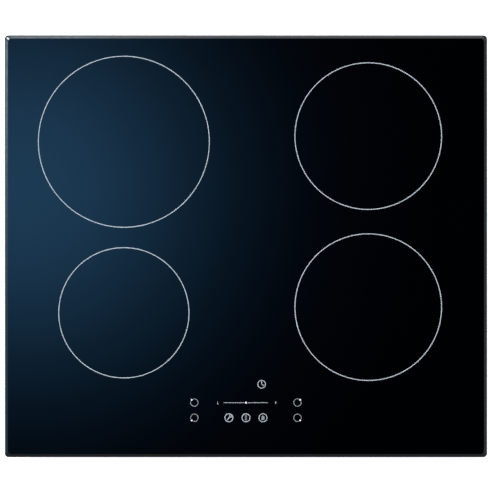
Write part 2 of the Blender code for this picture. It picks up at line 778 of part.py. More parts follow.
# ---- blowers
def fan_housing(side):
    """A scroll with a round mouth below, an outlet towards the heat sink and a fixed spindle."""
    high = ELECTRONICS_TOP
    out_half = FAN_OUTLET_WIDTH / 2
    bm = bmesh.new()
    add_post(bm, 0, 0, FAN_UNDER, high, FAN_RADIUS, ROUND)
    scroll = place(f"fan_housing_{side}", bm, black_plastic(), (SIDES[side] * FAN_X, FAN_Y, 0))
    centre = (SIDES[side] * FAN_X, FAN_Y)
    duct = bmesh.new()
    add_box(
        duct, (centre[0] - out_half, centre[1] - FAN_OUTLET_REACH, FAN_UNDER),
        (centre[0] + out_half, centre[1], high))
    combine(scroll, tool(f"fan_duct_{side}", duct), "UNION")
    hollow = bmesh.new()
    low_in, high_in = FAN_UNDER + FAN_WALL, high - FAN_WALL
    add_post(hollow, *centre, low_in, high_in, FAN_RADIUS - FAN_WALL, ROUND)
    combine(scroll, tool(f"fan_hollow_{side}", hollow), "DIFFERENCE")
    outlet = bmesh.new()
    add_box(
        outlet, (centre[0] - out_half + FAN_WALL, centre[1] - FAN_OUTLET_REACH - FAN_WALL, low_in),
        (centre[0] + out_half - FAN_WALL, centre[1] - FAN_WALL, high_in))
    combine(scroll, tool(f"fan_outlet_{side}", outlet), "DIFFERENCE")
    mouth = bmesh.new()
    add_post(mouth, *centre, FAN_UNDER - FAN_WALL, low_in + FAN_WALL / 2, FAN_MOUTH, 24)
    combine(scroll, tool(f"fan_mouth_{side}", mouth), "DIFFERENCE")
    spindle = bmesh.new()
    add_post(
        spindle, *centre, low_in + IMPELLER_CLEARANCE, high - FAN_WALL / 2, SPINDLE_RADIUS, 12)
    combine(scroll, tool(f"fan_spindle_{side}", spindle), "UNION")


def fan_impeller(side):
    low = FAN_UNDER + FAN_WALL + IMPELLER_CLEARANCE
    high = ELECTRONICS_TOP - FAN_WALL - IMPELLER_CLEARANCE
    plate = IMPELLER_PLATE
    bore = SPINDLE_RADIUS + SPINDLE_CLEARANCE
    bm = bmesh.new()
    turned(bm, [
        (bore, low), (HUB_RADIUS, low), (HUB_RADIUS, high - plate),
        (IMPELLER_RADIUS, high - plate), (IMPELLER_RADIUS, high), (bore, high)], 20)
    impeller = place(f"fan_impeller_{side}", bm, grey_plastic(), (SIDES[side] * FAN_X, FAN_Y, 0))
    blades = bmesh.new()
    for number in range(BLADES):
        angle = 2 * math.pi * number / BLADES
        blade = bmesh.ops.create_cube(blades, size=1)["verts"]
        depth, height = BLADE_DEPTH, high - plate / 2 - low
        bmesh.ops.scale(blades, verts=blade, vec=(depth, BLADE_THICKNESS, height))
        bmesh.ops.rotate(blades, verts=blade, matrix=Matrix.Rotation(math.radians(BLADE_LEAN), 3, "Z"))
        bmesh.ops.translate(
            blades, verts=blade, vec=(IMPELLER_RADIUS - depth * BLADE_PLACE, 0, low + height / 2))
        bmesh.ops.rotate(blades, verts=blade, matrix=Matrix.Rotation(angle, 3, "Z"))
    bmesh.ops.translate(blades, verts=blades.verts, vec=(SIDES[side] * FAN_X, FAN_Y, 0))
    combine(impeller, tool(f"fan_blades_{side}", blades), "UNION")


# ---- coils
def coil_carrier(side):
    """A plate that carries both coils of one side."""
    inner, outer = carrier_inner_x(side), CARRIER_X
    front, rear = carrier_front_y(side), CARRIER_Y
    middle = (SIDES[side] * (inner + outer) / 2, (front + rear) / 2)
    outline = rounded_outline((outer - inner) / 2, (rear - front) / 2, CARRIER_CORNER, middle)
    bm = bmesh.new()
    extruded(bm, outline, CARRIER_UNDER, CARRIER_TOP)
    carrier = place(f"coil_carrier_{side}", bm, aluminium())
    windows = bmesh.new()
    for end in ENDS:
        x, y = zone_centre(f"{side}_{end}")
        add_post(windows, x, y, CARRIER_UNDER - SHEET, CARRIER_TOP + SHEET, CARRIER_WINDOW, 16)
    combine(carrier, tool(f"carrier_windows_{side}", windows), "DIFFERENCE")


def winding_radius(zone):
    return ZONE_RADII[zone] - WINDING_INSET


def coil_winding(zone):
    bm = bmesh.new()
    turned(bm, ring_section(WINDING_EYE, winding_radius(zone), WINDING_UNDER, WINDING_TOP))
    place(f"coil_winding_{zone}", bm, copper(), (*zone_centre(zone), 0))


def coil_former(zone):
    bm = bmesh.new()
    radius = winding_radius(zone) + 0.002
    turned(bm, ring_section(FORMER_EYE, radius, FORMER_UNDER, FORMER_TOP))
    place(f"coil_former_{zone}", bm, former_plastic(), (*zone_centre(zone), 0))


def ferrite_set(zone):
    """Flat bars like spokes, held together by a ring round the sensor."""
    centre = zone_centre(zone)
    bm = bmesh.new()
    turned(bm, ring_section(FERRITE_EYE, FERRITE_EYE + 0.010, FERRITE_UNDER, FERRITE_TOP), 16)
    hub = place(f"ferrite_set_{zone}", bm, ferrite_grey(), (*centre, 0))
    bars = bmesh.new()
    start, end = FERRITE_EYE + 0.006, winding_radius(zone) - 0.006
    for number in range(FERRITE_BARS):
        bar = bmesh.ops.create_cube(bars, size=1)["verts"]
        bmesh.ops.scale(bars, verts=bar, vec=(end - start, FERRITE_WIDTH, FERRITE_THICKNESS))
        level = (FERRITE_UNDER + FERRITE_TOP) / 2
        bmesh.ops.translate(bars, verts=bar, vec=((start + end) / 2, 0, level))
        angle = 2 * math.pi * (number + 0.5) / FERRITE_BARS
        bmesh.ops.rotate(bars, verts=bar, matrix=Matrix.Rotation(angle, 3, "Z"))
    bmesh.ops.translate(bars, verts=bars.verts, vec=(*centre, 0))
    combine(hub, tool(f"ferrite_bars_{zone}", bars), "UNION")


def mica_sheet(zone):
    radius = winding_radius(zone) + MICA_PAST_WINDING
    bm = bmesh.new()
    turned(bm, ring_section(FORMER_EYE, radius, MICA_UNDER, BOND_TOP))
    place(f"mica_sheet_{zone}", bm, mica(), (*zone_centre(zone), 0))


def temperature_sensor(zone):
    """A silicone-capped probe on a stem that stands in the coil's eye."""
    bm = bmesh.new()
    low, high, cap = CARRIER_TOP + GAP, BOND_TOP, SENSOR_CAP
    turned(bm, [
        (0, low), (SENSOR_RADIUS + SENSOR_FLANGE, low), (SENSOR_RADIUS + SENSOR_FLANGE, low + 0.001),
        (STEM_RADIUS, low + 0.001), (STEM_RADIUS, high - cap), (SENSOR_RADIUS, high - cap),
        (SENSOR_RADIUS, high - 0.001), (SENSOR_RADIUS - 0.001, high), (0, high)], SMALL_ROUND)
    place(f"temperature_sensor_{zone}", bm, silicone(), (*zone_centre(zone), 0))


def carrier_spring(side, corner, x, y):
    """A compression spring between the shelf, or a tray post, and the carrier."""
    low, high = SHELF_TOP + GAP + SPRING_WIRE, CARRIER_UNDER - GAP - SPRING_WIRE
    steps = SPRING_TURNS * SPRING_STEPS
    curve = bpy.data.curves.new(f"carrier_spring_{side}_{corner}", "CURVE")
    curve.dimensions = "3D"
    curve.bevel_depth = SPRING_WIRE
    curve.bevel_resolution = 0
    curve.use_fill_caps = True
    curve.render_resolution_u = 0
    spline = curve.splines.new("POLY")
    spline.points.add(steps)
    for number, point in enumerate(spline.points):
        share = number / steps
        angle = 2 * math.pi * SPRING_TURNS * share
        point.co = (
            SPRING_RADIUS * math.cos(angle), SPRING_RADIUS * math.sin(angle),
            low + (high - low) * share, 1)
    curve.materials.append(spring_steel())
    obj = bpy.data.objects.new(curve.name, curve)
    obj.location = (x, y, 0)
    bpy.context.scene.collection.objects.link(obj)


# ---- touch controls
def touch_plan():
    """Half width, front and rear of the carrier under the controls, ahead of the coil carriers."""
    front = -FLANGE_Y + TOUCH_CLEARANCE
    free = min(carrier_front_y(side) for side in SIDES) - CARRIER_CLEARANCE
    return TOUCH_WIDTH / 2, front, min(front + TOUCH_DEPTH, free)


def touch_board_carrier():
    """A shallow plastic tray on four legs: two on the shelf, two on the insulating tray."""
    half_x, front, rear = touch_plan()
    middle = (0, (front + rear) / 2)
    half_y = (rear - front) / 2
    low, high = GLASS_UNDER - TOUCH_DEPTH_UNDER_GLASS, GLASS_UNDER - TOUCH_WALL

    def outline(inset):
        return rounded_outline(half_x - inset, half_y - inset, TOUCH_CORNER - inset, middle)

    bm = bmesh.new()
    loft(bm, [
        (outline(0), low), (outline(0), high), (outline(TOUCH_WALL), high),
        (outline(TOUCH_WALL), low + TOUCH_WALL)])
    carrier = place("touch_board_carrier", bm, grey_plastic())
    legs = bmesh.new()
    root = low + TOUCH_WALL / 2
    for side in (-1, 1):
        x = side * (half_x - LEG_FROM_SIDE)
        add_post(legs, x, front + LEG_FROM_FRONT, SHELF_TOP + GAP, root, TOUCH_LEG_RADIUS, 8)
        add_post(legs, x, rear - LEG_FROM_REAR, TRAY_TOP + GAP, root, TOUCH_LEG_RADIUS, 8)
    combine(carrier, tool("touch_legs", legs), "UNION")


def key_places():
    front_row = -GLASS_DEPTH / 2 + KEY_ROW_FRONT
    rear_row = -GLASS_DEPTH / 2 + KEY_ROW_REAR
    keys = [(x, front_row) for x in (-KEY_PITCH, 0, KEY_PITCH)]
    keys += [(x, row) for x in (-SELECT_KEY_X, SELECT_KEY_X) for row in (front_row, rear_row)]
    pitch = 2 * SLIDER_HALF / (SLIDER_PADS - 1)
    keys += [(-SLIDER_HALF + pitch * number, rear_row) for number in range(SLIDER_PADS)]
    return keys


def touch_board():
    half_x, front, rear = touch_plan()
    inset = TOUCH_WALL + GAP
    high = GLASS_UNDER - TOUCH_BOARD_DROP
    low = high - BOARD_THICKNESS
    outline = rounded_outline(
        half_x - inset, (rear - front) / 2 - inset, TOUCH_CORNER - TOUCH_WALL,
        (0, (front + rear) / 2))
    bm = bmesh.new()
    extruded(bm, outline, low, high)
    board = place("touch_board", bm, board_green())
    contacts = bmesh.new()
    root = high - BOARD_THICKNESS / 2
    for x, y in key_places():
        add_post(contacts, x, y, root, BOND_TOP, KEY_RADIUS, 8)
    combine(board, tool("touch_contacts", contacts), "UNION")


# ---- mains terminal box
def box_plan():
    """Front and rear of the terminal box."""
    return WELL_Y + BOX_FRONT_GAP, HOUSING_Y - BOX_REAR_INSET


def hinge_axis():
    return box_plan()[1] + HINGE_BEHIND, BOX_FLOOR - COVER_THICKNESS / 2


def terminal_box():
    front, rear = box_plan()
    half = BOX_WIDTH / 2
    high = SHELF_UNDER - GAP
    bm = bmesh.new()
    add_box(bm, (-half, front, BOX_FLOOR), (half, rear, high))
    box = place("terminal_box", bm, grey_plastic())
    hollow = bmesh.new()
    add_box(
        hollow, (-half + BOX_WALL, front + BOX_WALL, BOX_FLOOR - BOX_WALL),
        (half - BOX_WALL, rear - BOX_WALL, high - BOX_WALL))
    combine(box, tool("box_hollow", hollow), "DIFFERENCE")
    middle = (front + rear) / 2
    inlet = bmesh.new()
    add_box(
        inlet, (half - 2 * BOX_WALL, middle - INLET_WIDTH / 2, BOX_FLOOR - BOX_WALL),
        (half + BOX_WALL, middle + INLET_WIDTH / 2, min(INLET_TOP, high - 2 * BOX_WALL)))
    combine(box, tool("box_inlet", inlet), "DIFFERENCE")
    combine(box, wire_hole("box_wire_hole"), "DIFFERENCE")
    axis_y, axis_z = hinge_axis()
    ears = bmesh.new()
    for side in (-1, 1):
        near = side * (HINGE_LENGTH / 2 + HINGE_CLEARANCE)
        far = near + side * EAR_LENGTH
        add_box(
            ears, (min(near, far), rear - BOX_WALL / 4, axis_z - HINGE_RADIUS),
            (max(near, far), axis_y + HINGE_RADIUS, BOX_FLOOR + 2 * BOX_WALL))
    combine(box, tool("hinge_ears", ears), "UNION")
    pin = bmesh.new()
    reach = HINGE_LENGTH / 2 + HINGE_CLEARANCE + EAR_LENGTH / 2
    add_rod(pin, (-reach, axis_y, axis_z), (reach, axis_y, axis_z), HINGE_PIN, 12)
    combine(box, tool("hinge_pin", pin), "UNION")


def terminal_cover():
    """A snap lid; its origin is on the hinge's axis."""
    front, rear = box_plan()
    axis_y, axis_z = hinge_axis()
    high = BOX_FLOOR - GAP - axis_z
    low = high - COVER_THICKNESS
    half = BOX_WIDTH / 2
    bm = bmesh.new()
    add_box(bm, (-half, front - axis_y, low), (half, rear - LID_REAR_GAP - axis_y, high))
    cover = place("terminal_cover", bm, grey_plastic(), (0, axis_y, axis_z))
    web = bmesh.new()
    add_box(
        web, (-HINGE_LENGTH / 2, rear - 2 * BOX_WALL, axis_z + low),
        (HINGE_LENGTH / 2, axis_y, axis_z + high))
    combine(cover, tool("cover_web", web), "UNION")
    barrel = bmesh.new()
    half_barrel = HINGE_LENGTH / 2
    add_rod(barrel, (-half_barrel, axis_y, axis_z), (half_barrel, axis_y, axis_z), HINGE_RADIUS, 16)
    combine(cover, tool("cover_barrel", barrel), "UNION")
    bore = bmesh.new()
    reach = HINGE_LENGTH / 2 + BOX_WALL
    radius = HINGE_PIN + HINGE_CLEARANCE
    add_rod(bore, (-reach, axis_y, axis_z), (reach, axis_y, axis_z), radius, 12)
    combine(cover, tool("cover_bore", bore), "DIFFERENCE")


def terminal_block():
    """A row of screw terminals on the box's ceiling, reached from below."""
    front, rear = box_plan()
    middle = (front + rear) / 2
    high = SHELF_UNDER - GAP - BOX_WALL - GAP
    low = BOX_FLOOR + WIRING_HEIGHT
    left = -BOX_WIDTH / 2 + BOX_WALL + BOX_END_SPACE
    bm = bmesh.new()
    add_box(
        bm, (left, middle - BLOCK_HALF_DEPTH, low), (left + BLOCK_WIDTH, middle + BLOCK_HALF_DEPTH, high))
    block = place("terminal_block", bm, former_plastic())
    pitch = BLOCK_WIDTH / BLOCK_POLES
    holes = bmesh.new()
    for pole in range(BLOCK_POLES):
        x = left + (pole + 0.5) * pitch
        add_post(holes, x, middle, low - SHEET, low + SCREW_WELL_DEPTH, SCREW_WELL_RADIUS, 8)
        level = low + WIRE_ENTRY_RISE
        add_rod(
            holes, (x, middle - BLOCK_HALF_DEPTH - SHEET, level), (x, middle - SCREW_WELL_RADIUS, level),
            WIRE_ENTRY_RADIUS, 8)
    combine(block, tool("terminal_holes", holes), "DIFFERENCE")


def cable_clamp():
    """A bar that holds the mains cable in its round groove, just inside the inlet."""
    front, rear = box_plan()
    middle = (front + rear) / 2
    right = BOX_WIDTH / 2 - BOX_WALL - BOX_END_SPACE
    low = BOX_FLOOR + CLAMP_BAR_RISE
    bm = bmesh.new()
    add_box(
        bm, (right - CLAMP_BAR_WIDTH, front + BOX_WALL + 2 * GAP, low),
        (right, rear - BOX_WALL - 2 * GAP, low + CLAMP_BAR_HEIGHT))
    bar = place("cable_clamp", bm, black_plastic())
    groove = bmesh.new()
    level = low + CLAMP_BAR_HEIGHT / 2 + CABLE_RADIUS
    add_rod(
        groove, (right - CLAMP_BAR_WIDTH - SHEET, middle, level), (right + SHEET, middle, level),
        CABLE_RADIUS, 16)
    combine(bar, tool("clamp_groove", groove), "DIFFERENCE")


# ---- worktop clamps
def clamp_levels():
    top = SHELF_UNDER - CLAMP_DROP
    return top - CLAMP_SHEET, top


def worktop_clamp(side, end):
    """A steel arm that turns about its screw; stowed, it lies along the shelf towards the middle."""
    low, top = clamp_levels()
    outline = [
        (CLAMP_HALF_WIDTH * math.cos(angle), CLAMP_HALF_WIDTH * math.sin(angle))
        for angle in (math.radians(90 + 18 * step) for step in range(11))]
    outline += [(CLAMP_ARM, -CLAMP_HALF_WIDTH), (CLAMP_ARM, CLAMP_HALF_WIDTH)]
    bm = bmesh.new()
    extruded(bm, outline, low, top)
    pivot = (SIDES[side] * CLAMP_X, ENDS[end] * CLAMP_Y)
    turn = -ENDS[end] * math.pi / 2
    clamp = place(f"worktop_clamp_{side}_{end}", bm, galvanised(), (*pivot, 0), turn)
    extra = bmesh.new()
    add_box(
        extra, (CLAMP_ARM - CLAMP_SHEET, -CLAMP_HALF_WIDTH, low + CLAMP_SHEET / 2),
        (CLAMP_ARM, CLAMP_HALF_WIDTH, top + CLAMP_LIP))
    add_post(extra, 0, 0, low + CLAMP_SHEET / 2, SHELF_UNDER - GAP, SCREW_HEAD_RADIUS, 16)
    combine(clamp, tool(f"clamp_lip_{side}_{end}", extra, (*pivot, 0), turn), "UNION")
    hole = bmesh.new()
    radius = SCREW_RADIUS + RUNNING_GAP
    add_post(hole, *pivot, low - SHEET, SHELF_UNDER + SHEET, radius)
    combine(clamp, tool(f"clamp_bore_{side}_{end}", hole), "DIFFERENCE")


def clamp_screw(side, end):
    low = clamp_levels()[0] - GAP
    head = low - SCREW_HEAD
    tip = SHELF_TOP + SCREW_PAST_SHELF
    bm = bmesh.new()
    turned(bm, [
        (0, head), (SCREW_HEAD_RADIUS - 0.001, head), (SCREW_HEAD_RADIUS, head + 0.001),
        (SCREW_HEAD_RADIUS, low), (SCREW_RADIUS, low), (SCREW_RADIUS, tip), (0, tip)], 16)
    location = (SIDES[side] * CLAMP_X, ENDS[end] * CLAMP_Y, 0)
    place(f"clamp_screw_{side}_{end}", bm, spring_steel(), location)


def rating_plate():
    """A blank foil plate under the floor."""
    half_x, half_y = PLATE_SIZE[0] / 2, PLATE_SIZE[1] / 2
    high = FLOOR_UNDER - GAP
    bm = bmesh.new()
    outline = rounded_outline(half_x, half_y, PLATE_CORNER, (0, -WELL_Y * PLATE_PLACE))
    extruded(bm, outline, high - PLATE_SIZE[2], high)
    place("rating_plate", bm, label_foil())


# ---- the cooktop
glass_panel()
panel_seal()
support_frame()
bottom_housing()
insulating_tray()
filter_board()
filter_choke()
touch_board_carrier()
touch_board()
terminal_box()
terminal_cover()
terminal_block()
cable_clamp()
rating_plate()
for side in SIDES:
    power_board(side)
    heat_sink(side)
    fan_housing(side)
    fan_impeller(side)
    coil_carrier(side)
    for corner, (x, y) in spring_places(side).items():
        carrier_spring(side, corner, x, y)
    for end in ENDS:
        worktop_clamp(side, end)
        clamp_screw(side, end)
for zone in ZONE_RADII:
    coil_winding(zone)
    coil_former(zone)
    ferrite_set(zone)
    mica_sheet(zone)
    temperature_sensor(zone)
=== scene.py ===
import json
import math

import bmesh
import bpy
from mathutils import Matrix, Vector

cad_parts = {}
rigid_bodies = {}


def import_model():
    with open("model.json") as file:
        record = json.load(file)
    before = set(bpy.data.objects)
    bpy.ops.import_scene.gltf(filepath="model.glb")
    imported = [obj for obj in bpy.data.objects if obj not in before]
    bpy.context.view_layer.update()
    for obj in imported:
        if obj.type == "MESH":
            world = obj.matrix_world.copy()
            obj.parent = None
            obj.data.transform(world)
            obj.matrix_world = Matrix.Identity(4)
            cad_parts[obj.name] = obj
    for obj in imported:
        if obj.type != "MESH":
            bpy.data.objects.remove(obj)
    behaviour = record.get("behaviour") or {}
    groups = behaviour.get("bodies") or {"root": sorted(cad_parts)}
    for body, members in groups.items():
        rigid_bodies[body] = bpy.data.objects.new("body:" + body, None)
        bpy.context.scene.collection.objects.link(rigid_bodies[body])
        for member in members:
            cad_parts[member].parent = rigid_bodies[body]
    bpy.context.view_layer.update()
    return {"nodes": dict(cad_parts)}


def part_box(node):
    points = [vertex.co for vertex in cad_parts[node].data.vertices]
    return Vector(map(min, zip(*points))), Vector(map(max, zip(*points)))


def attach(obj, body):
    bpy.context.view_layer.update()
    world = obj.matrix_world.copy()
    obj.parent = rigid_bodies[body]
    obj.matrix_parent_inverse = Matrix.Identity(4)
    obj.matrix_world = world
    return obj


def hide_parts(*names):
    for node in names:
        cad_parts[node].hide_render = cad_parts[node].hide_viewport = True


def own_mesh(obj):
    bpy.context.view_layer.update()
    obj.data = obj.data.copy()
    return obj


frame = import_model()

# The view and the light. The hob is seen squarely from above through a long lens. The studio is dark straight
# overhead, so the glass reads black, with a pale ring and a band at floor level that the ground edges catch.
# A soft blue lamp overhead leaves its glow in the glass, and three small lamps put glints in the rim.
bpy.context.scene.view_settings.view_transform = "Standard"
CAMERA_PLACE = (-0.00235, 0.00274, 3.3692)
CAMERA_LENS = 200.0
STUDIO_GREY = (0.98, 0.99, 1.0, 1.0)
LEFT_BLUE = (0.66, 1.0, 1.32, 1.0)
GLINT_BLUE = (0.86, 1.0, 1.14, 1.0)
BACKDROP_GREY = (0.93, 0.935, 0.94, 1.0)
SIDE_LIGHT = 0.42
# radiance of the pale ring and of the floor-level band: behind, left, right, front
RING_LIGHT = (1.60, 0.50, 0.60, 0.30)
BAND_LIGHT = (3.00, 3.20, 1.20, 0.45)
# upward part of a direction where each begins and ends
BAND_ENDS = (0.20, 0.12)
RING_STARTS = (0.42, 0.54)
OVERHEAD_DARK = (0.866, 0.978)
# place (a direction's run over its rise), reach, fall-off and colour of each small lamp
GLOW_CENTRE = (-0.0825, 0.0210, 0.0)
GLOW_SPREAD = 0.0424
GLOW_COLOUR = (0.29, 1.06, 2.2, 1.0)
GLINTS = (((-0.115, 0.83, 0.0), 0.038, 8.5), ((-0.85, 0.115, 0.0), 0.050, 8.5),
          ((-0.47, 0.45, 0.0), 0.075, 46.0))
LOWEST_LAMP = 0.05

camera_data = bpy.data.cameras.new("overhead_camera")
camera_data.lens = CAMERA_LENS
camera = bpy.data.objects.new("overhead_camera", camera_data)
camera.location = CAMERA_PLACE
bpy.context.scene.collection.objects.link(camera)
bpy.context.scene.camera = camera


def add_node(tree, kind, feeds=None, **settings):
    """A shader node with its settings, its inputs given as values or as the sockets that feed them."""
    made = tree.nodes.new("ShaderNode" + kind)
    for setting, value in settings.items():
        setattr(made, setting, value)
    for socket, value in (feeds or {}).items():
        if isinstance(value, bpy.types.NodeSocket):
            tree.links.new(value, made.inputs[socket])
        else:
            made.inputs[socket].default_value = value
    return made


def sum_of(tree, operation, first, second):
    """One arithmetic step between two values."""
    return add_node(tree, "Math", {0: first, 1: second}, operation=operation).outputs[0]


studio = bpy.data.worlds.new("studio")
studio.use_nodes = True
bpy.context.scene.world = studio
sky = studio.node_tree
sky.nodes.clear()
looking = add_node(sky, "TexCoord").outputs["Generated"]
along = add_node(sky, "SeparateXYZ", {0: looking})


def fade(value, ends):
    """A smooth step from 0 to 1 between two values."""
    return add_node(sky, "MapRange", {0: value, 1: ends[0], 2: ends[1], 3: 0.0, 4: 1.0},
                    interpolation_type="SMOOTHSTEP").outputs[0]


flat = add_node(sky, "CombineXYZ", {"X": along.outputs["X"], "Y": along.outputs["Y"]})
heading = add_node(sky, "VectorMath", {0: flat.outputs[0]}, operation="NORMALIZE")
facing = add_node(sky, "SeparateXYZ", {0: heading.outputs[0]})
share_x = sum_of(sky, "MULTIPLY", facing.outputs["X"], facing.outputs["X"])
share_y = sum_of(sky, "MULTIPLY", facing.outputs["Y"], facing.outputs["Y"])
to_right = sum_of(sky, "GREATER_THAN", facing.outputs["X"], 0.0)
to_rear = sum_of(sky, "GREATER_THAN", facing.outputs["Y"], 0.0)


def shift_between(share, first, last):
    """A value that goes from one to the other as the share goes from 0 to 1."""
    return add_node(sky, "MapRange", {0: share, 3: first, 4: last}).outputs[0]


def round_light(behind, left, right, front):
    """A light that changes smoothly with the compass, given on the four sides."""
    across = sum_of(sky, "MULTIPLY", shift_between(to_right, left, right), share_x)
    return sum_of(sky, "ADD", across, sum_of(sky, "MULTIPLY", shift_between(to_rear, front, behind), share_y))


height = along.outputs["Z"]
side_light = shift_between(fade(height, BAND_ENDS), SIDE_LIGHT, round_light(*BAND_LIGHT))
ring_light = shift_between(fade(height, RING_STARTS), side_light, round_light(*RING_LIGHT))
strength = shift_between(fade(height, OVERHEAD_DARK), ring_light, 0.0)
from_left = sum_of(sky, "MULTIPLY", share_x, sum_of(sky, "SUBTRACT", 1.0, to_right))
tint = add_node(sky, "MixRGB", {0: from_left, 1: STUDIO_GREY, 2: LEFT_BLUE})
lit = add_node(sky, "Background", {"Color": tint.outputs[0], "Strength": strength})
run_x = sum_of(sky, "DIVIDE", along.outputs["X"], height)
run_y = sum_of(sky, "DIVIDE", along.outputs["Y"], height)
run = add_node(sky, "CombineXYZ", {"X": run_x, "Y": run_y}).outputs[0]
upward = sum_of(sky, "GREATER_THAN", height, LOWEST_LAMP)


def lamp(spot, colour, power):
    """One more small lamp, its power shaped over the directions."""
    light = add_node(sky, "Background", {"Color": colour, "Strength": sum_of(sky, "MULTIPLY", power, upward)})
    return add_node(sky, "AddShader", {0: spot.outputs[0], 1: light.outputs[0]})


from_glow = add_node(sky, "VectorMath", {0: run, 1: GLOW_CENTRE}, operation="DISTANCE").outputs["Value"]
spreads = sum_of(sky, "DIVIDE", from_glow, GLOW_SPREAD)
lit = lamp(lit, GLOW_COLOUR, sum_of(sky, "POWER", math.exp(-0.5), sum_of(sky, "MULTIPLY", spreads, spreads)))
for centre, reach, power in GLINTS:
    away = add_node(sky, "VectorMath", {0: run, 1: centre}, operation="DISTANCE").outputs["Value"]
    fall = sum_of(sky, "POWER", math.exp(-1.0), sum_of(sky, "DIVIDE", away, reach))
    lit = lamp(lit, GLINT_BLUE, sum_of(sky, "MULTIPLY", fall, power))
backdrop = add_node(sky, "Background", {"Color": BACKDROP_GREY, "Strength": 1.0})
seen_directly = add_node(sky, "LightPath").outputs["Is Camera Ray"]
shown = add_node(sky, "MixShader", {0: seen_directly, 1: lit.outputs[0], 2: backdrop.outputs[0]})
sky.links.new(shown.outputs[0], add_node(sky, "OutputWorld").inputs["Surface"])

# The floor. A plain white sweep, lit from beneath as a product table is, which keeps the contact shadow
# faint. It only carries the hob and isn't part of it.
FLOOR_HALF = 6.0
FLOOR_WHITE = (0.90, 0.90, 0.905, 1.0)
FLOOR_WHITEST = (0.93, 0.93, 0.935, 1.0)
FLOOR_GLOW = 0.80


def start_finish(name):
    """A new material with its shader, ready for its nodes."""
    made = bpy.data.materials.new(name)
    made.use_nodes = True
    made.node_tree.nodes.clear()
    gloss = add_node(made.node_tree, "BsdfPrincipled")
    ending = add_node(made.node_tree, "OutputMaterial")
    made.node_tree.links.new(gloss.outputs[0], ending.inputs["Surface"])
    return made, made.node_tree, gloss


floor_paper, tree, gloss = start_finish("white_sweep")
speckle = add_node(tree, "TexNoise", {"Scale": 900.0, "Detail": 3.0})
paper_tone = add_node(tree, "MixRGB", {0: speckle.outputs[0], 1: FLOOR_WHITE, 2: FLOOR_WHITEST})
tree.links.new(paper_tone.outputs[0], gloss.inputs["Base Color"])
gloss.inputs["Roughness"].default_value = 0.85
gloss.inputs["Specular IOR Level"].default_value = 0.2
gloss.inputs["Emission Color"].default_value = (1.0, 1.0, 1.0, 1.0)
gloss.inputs["Emission Strength"].default_value = FLOOR_GLOW

floor_shape = bmesh.new()
bmesh.ops.create_grid(floor_shape, x_segments=1, y_segments=1, size=FLOOR_HALF)
floor_mesh = bpy.data.meshes.new("floor")
floor_shape.to_mesh(floor_mesh)
floor_shape.free()
floor_mesh.materials.append(floor_paper)
floor = bpy.data.objects.new("floor", floor_mesh)
bpy.context.scene.collection.objects.link(floor)

# Bottom housing. One pressing of zinc-coated steel sheet 1 mm thick: an upright wall, a shelf all round and
# a deep well with rounded bends. The floor carries stamped feet, stiffening beads and the blowers' intake
# slots, and the front of the well the exhaust slots. Its wall is screwed to the frame inside it.
WALL_X, WALL_Y, RIM_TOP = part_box("bottom_housing")[1]
SHEET = 0.001
WALL_CORNER = 0.012
SHELF_WIDTH = 0.038
SHELF_UNDER = 0.0260
WELL_CORNER = 0.018
WELL_DRAFT = 0.003
FLOOR_UNDER = 0.004
BEND = 0.0025
BEND_STEPS = 5
SHEET_CORNER_STEPS = 12
FOOT_FROM_WELL = 0.030
# a foot's section from its middle outwards: distance from the axis and height
FOOT_SECTION = ((0.0, 0.0014), (0.0058, 0.0012), (0.0072, 0.0004), (0.0082, 0.0), (0.0090, 0.0),
                (0.0097, 0.0005), (0.0112, 0.0030), (0.0120, 0.0038), (0.0132, 0.0042), (0.0132, 0.0046),
                (0.0, 0.0046))
INTAKE_CENTRE = (0.146, 0.140)
INTAKE_RADIUS = 0.037
INTAKE_PITCH = 0.0085
INTAKE_SLOT = 0.0045
EXHAUST_SLOTS = 12
EXHAUST_PITCH = 0.011
EXHAUST_WIDTH = 0.0055
EXHAUST_HEIGHTS = (0.0113, 0.0220)
CLAMP_PIVOT = (0.2575, 0.120)
SCREW_HOLE = 0.0024
WIRE_HOLE = 0.006
BEAD_HALF_WIDTH = 0.0045
BEAD_DROP = 0.0009
RIM_EDGE = 0.0002
LEAST_CORNER = 0.002
ROUND_GAP = 0.0001      # what a round end's corners lack of its half width
INLET_HEIGHT = 0.0157
# middle and half length of each stiffening bead under the floor
FLOOR_BEADS = ((0.0, 0.075, 0.175), (0.0, 0.030, 0.205), (0.0, -0.015, 0.205), (0.0, -0.055, 0.205),
               (0.0, -0.150, 0.165))


def added_since(shape, known):
    """A shape's points that weren't in it before."""
    return [vert for vert in shape.verts if vert not in known]


def turn_points(shape, points, angle, axis="Z"):
    """Points turned about an axis through the origin."""
    bmesh.ops.rotate(shape, verts=points, cent=(0.0, 0.0, 0.0), matrix=Matrix.Rotation(angle, 3, axis))


